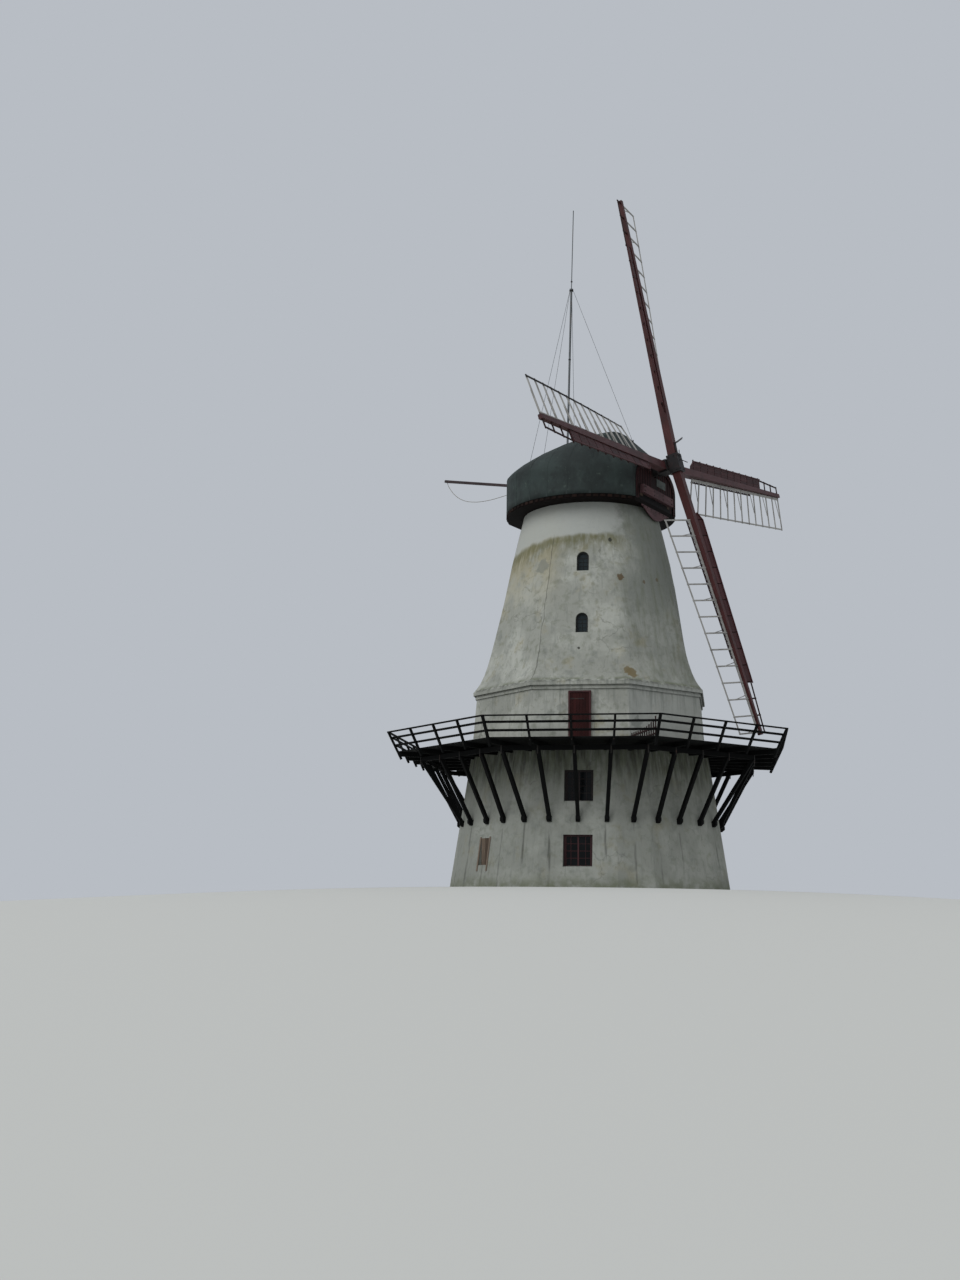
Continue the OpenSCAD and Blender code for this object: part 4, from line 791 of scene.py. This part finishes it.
def makeWindowBars():
    edge, bar, deep = windows["frame"], windows["bar"], windows["barDeep"]
    inner, tall, middle = windows["width"] - 2 * edge, windows["height"] - 2 * edge, windows["height"] / 2
    part = newShape()
    addBoard(part, (*windows["mullion"], tall), moved(0, 0, middle), 0.6)
    for s in (-1, 1):
        addBoard(part, (bar, deep, tall), moved(s * windows["width"] / 4, 0, middle), -0.2)
        addBoard(part, (*windows["stile"], tall), moved(s * (inner / 2 - 0.02), 0, middle), 0.3)
    for i in range(1, 4):
        addBoard(part, (bar, deep * 0.9, inner), moved(0, 0, edge + i * tall / 4) @ lying, -0.2)
    setInWindows("lower_window_bars", part, 0.006, lowerPlaces)
    inner = windows["slimWidth"] - 2 * edge
    spring = windows["slimHeight"] - windows["slimWidth"] / 2
    part = newShape()
    addBoard(part, (windows["transom"], deep, inner), moved(0, 0, spring) @ lying, 0.2)
    addBoard(part, (bar, deep * 0.9, spring - edge), moved(0, 0, (spring + edge) / 2), 0.1)
    for i in range(1, 3):
        addBoard(part, (windows["slimBar"], deep * 0.8, inner),
                 moved(0, 0, edge + i * (spring - edge) / 3) @ lying, -0.3)
    setInWindows("tower_window_bars", part, 0.005, towerPlaces)


def makeSills():
    # sloped render sills that throw the rain off under each window
    bm = newShape()
    slope = moved(0, -0.13, 0.012) @ turned("X", windows["sillSlope"]) @ lying
    for place in lowerPlaces:
        addBoard(bm, windows["sill"], place @ slope, 0.4)
    eased(bm, 0.008)
    finishPiece("window_sills", bm, wallRender, "tower")


makeWindowBars()
makeSills()


# Doors and the hatch
doors = {
    "gallery": (0.96, 2.33), "entrance": (1.9, 2.25), "entranceSill": 0.21,
    "frame": 0.075, "leafBack": 0.03, "leafThick": 0.05, "proud": 0.04, "setIn": 0.13,
    "boardThick": 0.03, "gap": 0.006, "ledge": 0.13, "ledges": (0.12, 0.5, 0.88), "strapThick": 0.007,
    "pull": (0.98, 1.14), "pullThick": 0.016, "hatchWidth": 0.64, "hatchHeight": 1.15, "hatchSill": 1.0,
    "batten": (0.075, 0.032), "battenOver": 0.32, "battenDown": 0.1,
}


def leafSize(width, height):
    return width - 2 * doors["frame"], height - doors["frame"]


def boardedLeaf(width, height, count):
    # upright boards in front of three ledges, inside the leaf's own thickness
    leaf, pitch, thick, whole = newShape(), width / count, doors["boardThick"], doors["leafThick"]
    for i in range(count):
        addBoard(leaf, (pitch - doors["gap"], thick, height),
                 moved(-width / 2 + (i + 0.5) * pitch, thick / 2, height / 2))
    for share in doors["ledges"]:
        addBoard(leaf, (doors["ledge"], whole - thick, width - 0.04),
                 moved(0, (whole + thick) / 2, share * height) @ lying)
    eased(leaf, 0.004)
    return leaf


def addHinges(iron, place, length, tall, height, shares):
    # strap hinges on a leaf's face, at shares of its height
    for share in shares:
        joined(iron, easedBox((length, doors["strapThick"], tall), 0.002),
               place @ moved(0, -doors["strapThick"] / 2, share * height))


def makeDoors():
    bm, iron = newShape(), bmesh.new()
    width, height = leafSize(*doors["gallery"])
    floor = mill["deckTop"]
    face = storeyFace(floor) + doors["proud"] - doors["leafBack"]
    places = [atSide(k) @ moved(0, -face, floor) for k in (0, 4, 6)]
    joined(bm, boardedLeaf(width, height, 6), *places)
    finishPiece("gallery_door_leaves", bm, doorBoards, "tower", ("gallery_doors",))
    for place in places:
        addHinges(iron, place @ moved(-width * 0.13, 0, 0), width * 0.72, 0.045, height, (0.12, 0.88))
        grip = [place @ moved(width * 0.4, 0, z) for z in doors["pull"]]
        rodBetween(iron, *(end @ Vector((0, -0.03, 0)) for end in grip), doors["pullThick"])
        for end in grip:
            rodBetween(iron, end.translation, end @ Vector((0, -0.036, 0)), doors["pullThick"])
    width, height = leafSize(*doors["entrance"])
    sill = doors["entranceSill"]
    face = wallFace(sill + doors["entrance"][1]) - doors["setIn"] - doors["leafBack"]
    place = atSide(4) @ moved(0, -face, sill)
    bm = newShape()
    for s in (-1, 1):  # a pair of leaves that meet in the middle
        joined(bm, boardedLeaf(width / 2 - 0.004, height, 6), place @ moved(s * width / 4, 0, 0))
        addHinges(iron, place @ moved(s * width * 0.31, 0, 0), width * 0.36, 0.05, height, doors["ledges"])
    finishPiece("ground_door_leaves", bm, doorBoards, "tower", ("ground_door",))
    finishPiece("door_hinges", iron, boltIron, "tower")


def makeHatch():
    width, height, sill = doors["hatchWidth"], doors["hatchHeight"], doors["hatchSill"]
    wide, thick = doors["batten"]
    bm = newShape()
    joined(bm, boardedLeaf(width, height, 5), atSide(7) @ moved(0, -wallFace(sill + height), sill))
    lean = math.degrees(math.atan((mill["wallFoot"] - mill["wallHead"]) / mill["wallHeight"]))
    middle = sill + height / 2 - doors["battenDown"]
    for s in (-1, 1):  # side battens on the wall, with feet below the hatch
        place = moved(s * (width / 2 + 0.02), -wallFace(middle) - thick / 2, middle) @ turned("X", -lean)
        addBoard(bm, (wide, thick, height + doors["battenOver"]), atSide(7) @ place, 0.9)
    finishPiece("hatch_boards", bm, hatchBoards, "tower", ("wall_hatch",))


makeDoors()
makeHatch()


# Tower: one smooth render over its four quarters
quarters = ("front", "right", "back", "left")
towerWalls = [f"tower_wall_{side}" for side in quarters]


def makeTowerRender():
    bm = bmesh.new()
    for name in towerWalls:
        bm.from_mesh(nodes[name].data)
    bmesh.ops.remove_doubles(bm, verts=bm.verts, dist=0.0002)
    seen, inner = {}, set()
    for face in bm.faces:  # the quarters' end faces meet inside the wall
        key = tuple(round(v * 500) for v in face.calc_center_median())
        if key in seen:
            inner.update((face, seen[key]))
        seen[key] = face
    bmesh.ops.delete(bm, geom=list(inner), context="FACES")
    bmesh.ops.dissolve_limit(bm, angle_limit=math.radians(0.4), verts=bm.verts, edges=bm.edges)
    finishPiece("tower_render", bm, towerRender, "tower", towerWalls, smooth=28)


makeTowerRender()


# Cap: felt roof, its laps and verges, eaves blocks, boarded ends and mast fittings
cap = {
    "lengthSteps": 54, "arcSteps": 52, "sideShare": 0.11, "thick": 0.068, "wave": 0.007, "sagsTo": 18.2,
    "firstLap": 0.7, "lapStep": 0.98, "lapWidth": 0.07, "lapThick": 0.007, "vergeInset": 0.069,
    "vergeDeep": 0.15, "vergeThick": 0.035, "vergeBack": 0.01, "blockStep": 4.6,
    "blockSize": (0.2, 0.036, 0.12), "blockBack": 0.037, "blockHeight": 17.285, "boardStep": 0.245,
    "batten": (0.035, 0.018), "battenFoot": 17.42, "battenShort": 0.24, "overBeams": 18.08, "beamHalf": 1.54,
    "endPlace": 3.69, "frontPlace": 3.34, "endThick": 0.05, "endHalf": 1.228, "underFelt": 0.072,
    "lever": 0.075, "leverHole": (1.935, 2.085), "leverRoot": (-3.3, 0, 19.31), "leverTilt": 191.9,
    "bands": (0.75, 4.95, 5.05), "band": (0.04, 0.13, 0.13), "sheet": (0.9, 0.004, 0.36),
    "sheetAt": (3.362, 0.62, 18.56),
    "beamBolts": (3.54, (17.776, 17.966), (-1.4, -1.3, -0.45, 0.45, 1.3, 1.4)),
    "apronBolts": (3.365, 17.13, 0.4), "bolt": (0.03, 0.028), "mastBack": 1.27, "mastFoot": 20.781,
    "mastLean": 1.5, "mastThick": 0.1, "collar": 8.18,
    "hoops": ((1.2, 0.125), (4.6, 0.125), (8.13, 0.2), (8.6, 0.09)), "sleeve": 0.15,
    "flange": (0.34, 0.18, 0.16), "stayThick": 0.018, "eyeThick": 0.05,
    "stayFeet": ((-3.6, 0), (2.25, 0), (-1.7, 1.5), (-1.7, -1.5)),
}


def roofPoint(u, share, inset=0.0):
    # share runs over the roof's section from one eave to the other
    half = math.sqrt(max(0.001, capRadius ** 2 - u * u)) - inset
    shoulder, side, near = capShoulder(u), cap["sideShare"], min(share, 1 - share)
    if near < side:
        return Vector((u, half if share < 0.5 else -half, eaves + shoulder * near / side))
    a = math.pi * (share - side) / (1 - 2 * side)
    rise = (capRidge(u) - inset - shoulder) * max(0, math.sin(a)) ** sectionPower(u)
    return Vector((u, half * math.cos(a), eaves + shoulder + rise))


def roofStrip(u0, u1, lift, steps):
    # a strip of the roof's surface between two places along the cap
    strip = bmesh.new()
    bmesh.ops.create_grid(strip, x_segments=steps, y_segments=cap["arcSteps"], size=0.5)
    for vert in strip.verts:
        vert.co = roofPoint(u0 + (u1 - u0) * (vert.co.x + 0.5), vert.co.y + 0.5, -lift)
    bmesh.ops.recalc_face_normals(strip, faces=strip.faces)
    top = max(strip.faces, key=lambda face: face.calc_center_median().z)
    if top.normal.z < 0:
        bmesh.ops.reverse_faces(strip, faces=strip.faces)
    return strip


def makeRoof():
    bm = roofStrip(-capRear, capFront, 0, cap["lengthSteps"])
    for vert in bm.verts:  # the felt sags a little between the rafters
        sag = noise.noise(vert.co * 0.9) - 0.6
        inward = Vector((0, -vert.co.y, cap["sagsTo"] - vert.co.z)).normalized()
        if vert.co.z > eaves + 0.1:
            vert.co += inward * -min(0, sag) * cap["wave"]
    bmesh.ops.transform(bm, matrix=inCap, verts=bm.verts)
    finishPiece("roof_felt", bm, felt, "cap", ("cap_roof",), smooth=35, thickness=cap["thick"])


def makeLaps():
    bm = bmesh.new()
    u = cap["firstLap"] - capRear
    while u < capFront - 0.3:
        strip = roofStrip(u, u + cap["lapWidth"], cap["lapThick"] / 2, 2)
        bmesh.ops.solidify(strip, geom=strip.faces, thickness=cap["lapThick"])
        joined(bm, strip, inCap)
        u += cap["lapStep"]
    finishPiece("felt_laps", bm, felt, "cap", smooth=40)
    bm = bmesh.new()
    for end, step in ((-capRear, 1), (capFront, -1)):  # a board at each end, under the felt's edge
        strip = bmesh.new()
        bmesh.ops.create_grid(strip, x_segments=1, y_segments=cap["arcSteps"], size=0.5)
        for vert in strip.verts:
            inset = cap["vergeInset"] + cap["vergeDeep"] * (vert.co.x + 0.5)
            vert.co = roofPoint(end, vert.co.y + 0.5, inset)
        bmesh.ops.solidify(strip, geom=strip.faces, thickness=cap["vergeThick"])
        outer = min(step * vert.co.x for vert in strip.verts)
        joined(bm, strip, inCap @ moved(end + step * (cap["vergeBack"] - outer), 0, 0))
    finishPiece("verge_boards", bm, redTimber, "cap", smooth=35)


def makeEavesBlocks():
    bm = newShape()
    width, deep, tall = cap["blockSize"]
    start, end = (math.degrees(math.acos(u / capRadius)) for u in (capFront, -capRear))
    for s in (-1, 1):
        angle = start + 4
        while angle < end - 3:
            place = inCap @ turned("Z", s * angle) @ moved(
                capRadius - cap["blockBack"] + deep / 2, 0, cap["blockHeight"]) @ crosswise
            addBoard(bm, (width * rng.uniform(0.85, 1.1), deep, tall), place)
            angle += cap["blockStep"]
    eased(bm, 0.006)
    finishPiece("eaves_blocks", bm, darkBlockBoards, "cap")


def rearBoard(bm, v0, v1, low, high=None):
    # one upright board between two places across the cap; its top follows the roof's underside
    place = moved(cap["endThick"] / 2 - cap["endPlace"], (v0 + v1) / 2, 0) @ crosswise
    made = addBoard(bm, (v1 - v0, cap["endThick"], 1.0), inCap @ place, rng.uniform(-0.8, 0.8))
    for vert in made:
        v = v1 if (inCap.inverted() @ vert.co).y > (v0 + v1) / 2 else v0
        top = high or roofHeight(-cap["endPlace"], v, cap["underFelt"])
        vert.co.z = top if vert.co.z > 0 else low


def makeRearBoards():
    # boards that close the rear under the roof, cut round the lever
    bm = newShape()
    width, half, foot = cap["boardStep"], cap["lever"], eaves + 0.002
    for s in (-1, 1):
        inner, outer = sorted((0, s * half)), sorted((s * half, s * width))
        rearBoard(bm, *inner, foot, eaves + cap["leverHole"][0])
        rearBoard(bm, *inner, eaves + cap["leverHole"][1])
        rearBoard(bm, *outer, foot)
        for i in range(1, 5):
            rearBoard(bm, *sorted((s * i * width, s * min(cap["endHalf"], (i + 1) * width))), foot)
    eased(bm, 0.003)
    finishPiece("rear_boarding", bm, redBoards, "cap", ("rear_boards",))


def onMast(height):
    foot = moved(-cap["mastBack"], 0, cap["mastFoot"])
    return inCap @ foot @ turned("Y", cap["mastLean"]) @ moved(0, 0, height)


def makeMastStays():
    # taut rods from the mast's collar to eyes on the roof
    bm, eyes = bmesh.new(), bmesh.new()
    for u, v in cap["stayFeet"]:
        away = Vector((u + cap["mastBack"], v, 0)).normalized() * cap["mastThick"] * 0.75
        top = onMast(cap["collar"]).translation + inCap.to_3x3() @ away
        foot = inCap @ moved(u, v, roofHeight(u, v))
        rodBetween(bm, foot @ Vector((0, 0, -0.02)), top, cap["stayThick"])
        rodBetween(eyes, foot @ Vector((0, 0, -0.03)), foot @ Vector((0, 0, 0.1)), cap["eyeThick"], 12)
    finishPiece("mast_stay_rods", bm, zincSteel, "cap", ("mast_stays",), smooth=40)
    finishPiece("stay_eyes", eyes, boltIron, "cap", smooth=40)


def makeEndBoards():
    # battens over the boards' joints: at the rear clear of the lever, at the front beside the shaft and above
    # the beams
    bm = newShape()
    wide, thick = cap["batten"]
    ends = ((-cap["endPlace"], -1, cap["boardStep"] / 2, 1.45), (cap["frontPlace"], 1, 0.4, 1.95))
    for u, step, v, limit in ends:
        while v < limit:
            low = cap["overBeams"] if step > 0 and v < cap["beamHalf"] else cap["battenFoot"]
            top = roofHeight(u, v) - cap["battenShort"]
            if top - low > 0.2:
                for s in (-1, 1):
                    addBoard(bm, (wide, thick, top - low),
                             inCap @ moved(u + step * thick / 2, s * v, (top + low) / 2) @ crosswise)
            v += cap["boardStep"]
    eased(bm, 0.004)
    finishPiece("end_battens", bm, redBoards, "cap")
    bm = newShape()
    addBoard(bm, cap["sheet"], inCap @ moved(*cap["sheetAt"]) @ crosswise, 0.0)
    eased(bm, 0.001)
    finishPiece("neck_sheet", bm, leadSheet, "cap")


def makeCapIron():
    bm = bmesh.new()
    ahead, heights, across = cap["beamBolts"]
    bolts = [inCap @ facing((ahead, v, z), (1, 0, 0), 20) for z in heights for v in across]
    ahead, height, step = cap["apronBolts"]
    bolts += [inCap @ facing((ahead, i * step, height), (1, 0, 0)) for i in range(-3, 4)]
    joined(bm, boltShape(*cap["bolt"]), *bolts)
    for h, size in cap["hoops"]:  # hoops on the mast, over a sleeve at its foot
        addRound(bm, size, size, 0.05, onMast(h), 20)
    drop = cap["mastFoot"] - eaves - capRidge(-cap["mastBack"])
    rodBetween(bm, onMast(-drop - 0.03).translation, onMast(0.12).translation, cap["sleeve"], 24)
    addRound(bm, *cap["flange"], onMast(0.05 - drop), 24)
    finishPiece("cap_fittings", bm, boltIron, "cap", smooth=40)
    bm = bmesh.new()
    lever = inCap @ moved(*cap["leverRoot"]) @ turned("Y", cap["leverTilt"])
    joined(bm, easedBox(cap["band"], 0.006), *(lever @ moved(x, 0, 0) for x in cap["bands"]))
    finishPiece("lever_bands", bm, boltIron, "cap")


makeRoof()
makeLaps()
makeRearBoards()
makeMastStays()
makeEavesBlocks()
makeEndBoards()
makeCapIron()


# Sails: boards in short panels, back stays, cleats and wedges
sails = {
    "boardThick": 0.026, "boardGap": 0.012, "panelGap": 0.045, "boardsAcross": 3, "crossGap": 0.004,
    "batten": (0.05, 0.03), "stayReach": 1.2, "stayBack": 0.18, "staySize": 0.036, "noseLength": 0.055,
    "stripBars": 9, "stripOver": 0.45, "stripFrom": 0.15, "stripWide": 0.07, "stripDeep": (-0.062, -0.024),
    "teeth": (0.2, 0.5, 0.8), "toothLong": 0.09, "toothWide": 0.05, "toothDeep": (-0.058, -0.028),
    "hubHalf": 0.275, "hubBolt": (0.034, 0.032),
}


def twistedBoard(bm, k, r0, r1, low, high, x0, x1, tone=None):
    # a board that follows the sail's twist; low and high are its edges, or a pair where they taper
    low, high = (edge if isinstance(edge, tuple) else (edge, edge) for edge in (low, high))
    made = addBoard(bm, (x1 - x0, high[0] - low[0], r1 - r0), moved((x0 + x1) / 2, 0, (r0 + r1) / 2), tone)
    for vert in made:
        edge = low if vert.co.y < 0 else high
        vert.co = onSet(k, vert.co.x, edge[vert.co.z > (r0 + r1) / 2], vert.co.z)


def makeSailBoards():
    bm = newShape()
    start, end, count = mill["boardStart"], mill["boardEnd"], sails["boardsAcross"]
    gap = sails["panelGap"] / 2
    stations = [start, *(barAt(i) for i in range(mill["bars"]) if barAt(i) < end - 0.06), end]
    front = mill["barThick"] / 2 + 0.002
    back = front + sails["boardThick"]
    for k in range(4):
        for r0, r1 in zip(stations, stations[1:]):
            tone = rng.uniform(-0.6, 0.6)
            outer = (-mill["boardRoot"] if r0 == start else -mill["boardReach"], -mill["boardReach"])
            inner = tuple(-besideStock(r, back) - sails["boardGap"] for r in (r0, r1))
            for j in range(count):
                low, high = (tuple(a + (b - a) * part / count for a, b in zip(outer, inner))
                             for part in (j, j + 1))
                high = tuple(edge - sails["crossGap"] for edge in high)
                twistedBoard(bm, k, r0 + gap, r1 - gap, low, high, front, back, tone + rng.uniform(-0.5, 0.5))
            deep, thick = sails["batten"]
            twistedBoard(bm, k, r0, r1, outer, tuple(edge + deep for edge in outer), back, back + thick, 0.5)
    eased(bm, 0.003)
    finishPiece("sail_panels", bm, redBoards, "sails", ("sail_boards",))


def makeLatticeParts():
    bm, cleats = newShape(), newShape()
    bars = [barAt(i) for i in range(mill["bars"])]
    reach, half, last = mill["boardReach"], mill["barThick"] / 2, sails["stripBars"] - 1
    for k in range(4):
        for i, r in enumerate(bars):
            if r < mill["boardEnd"]:  # the bars stand a little past the boards' edge
                twistedBoard(cleats, k, r - 0.03, r + 0.03, -reach - sails["noseLength"], 0.02 - reach,
                             -half, half, 0.2)
            if i % 2 == 1:  # every second bar has a stay from the stock's rear
                near = r - sails["stayBack"]
                rodBetween(bm, onSet(k, -stockHalf(near), stockHalf(near) * 0.6, near),
                           onSet(k, -half - 0.01, sails["stayReach"], r), sails["staySize"], 6)
    finishPiece("lattice_stays", bm, paleLath, "sails")
    for k in range(4):
        for i in range(last + 1):  # notched strip that the sailcloth is belayed to
            r0, r1 = bars[i], bars[i + 1] if i < last else bars[i] + sails["stripOver"]
            low = tuple(besideStock(r) + sails["stripFrom"] for r in (r0, r1))
            high = tuple(edge + sails["stripWide"] for edge in low)
            twistedBoard(cleats, k, r0, r1, low, high, *sails["stripDeep"], -0.5)
            for share in sails["teeth"]:
                r, long = r0 + (r1 - r0) * share, sails["toothLong"] / 2
                edge = besideStock(r) + sails["stripFrom"]
                twistedBoard(cleats, k, r - long, r + long, edge - sails["toothWide"], edge + 0.01,
                             *sails["toothDeep"], -0.5)
        for r in bars:  # a pair of wedges holds each bar in its mortice
            for s in (-1, 1):
                beside = s * (stockHalf(r) + 0.03)
                twistedBoard(cleats, k, r + 0.032, r + 0.058, beside - 0.05, beside + 0.05, -0.02, 0.02, 0.3)
    eased(cleats, 0.004)
    finishPiece("sail_cleats", cleats, darkRedBoards, "sails")


def makeHubBolts():
    bm, bolts = bmesh.new(), []
    reach = mill["stockGap"] / 2 + mill["stockRoot"] / 2 + 0.085
    for s in (-1, 1):
        for y in (-0.2, 0.2):
            bolts.append(onSails @ facing((reach, y, s * 0.32), (1, 0, 0), 10))
            bolts += [onSails @ facing((x, s * sails["hubHalf"], y * 1.6), (0, s, 0), 10)
                      for x in (0.12, 0.36)]
    joined(bm, boltShape(*sails["hubBolt"]), *bolts)
    finishPiece("hub_bolts", bm, castIron, "sails")


makeSailBoards()
makeLatticeParts()
makeHubBolts()


# Finishes of the CAD nodes that stay
railings = ("front", "front_right", "right", "back_right", "back", "back_left", "left", "front_left")
finishes = [
    (wallRender, [f"lower_wall_{side}" for side in quarters]), (towerRender, towerWalls),
    (tarredPine, ["gallery_deck", "gallery_joists", "ring_beam", "front_struts", "back_struts", "strut_shoes",
                  "corner_posts", *(f"railing_{side}" for side in railings)]),
    (redTimber, ["door_frames", "gallery_doors", "ground_door", "rear_boards", "sail_boards"]),
    (windowPaint, ["lower_window_frames", "tower_window_frames"]), (frontBoardsShaded, ["front_boards"]),
    (soffitShadeTimber, ["cap_skirt"]), (leverTimber, ["brake_lever"]), (picketWoodShaded, ["picket_fence"]),
    *((latticeLaths[k], [f"sail_lattice_{k + 1}"]) for k in range(4)),
    (bareOak, ["ground_floor", "upper_floors", "curb_ring", "cap_frame", "wall_hatch"]),
    (pane, ["window_glass"]), (felt, ["cap_roof"]), (mauveTimber, ["front_beams", "front_apron"]),
    (hemp, ["brake_rope"]), (zincSteel, ["mast", "mast_stays"]), (castIron, ["windshaft", "sail_hub"]),
    (outerStockWood, ["outer_stock"]), (innerStockWood, ["inner_stock"]),
]
for material, names in finishes:
    for name in names:
        node = nodes[name]
        if not node.data.materials:
            node.data.materials.append(material)
        for slot in node.material_slots:
            slot.material = material
print("finishes set on", sum(len(names) for _, names in finishes), "nodes")
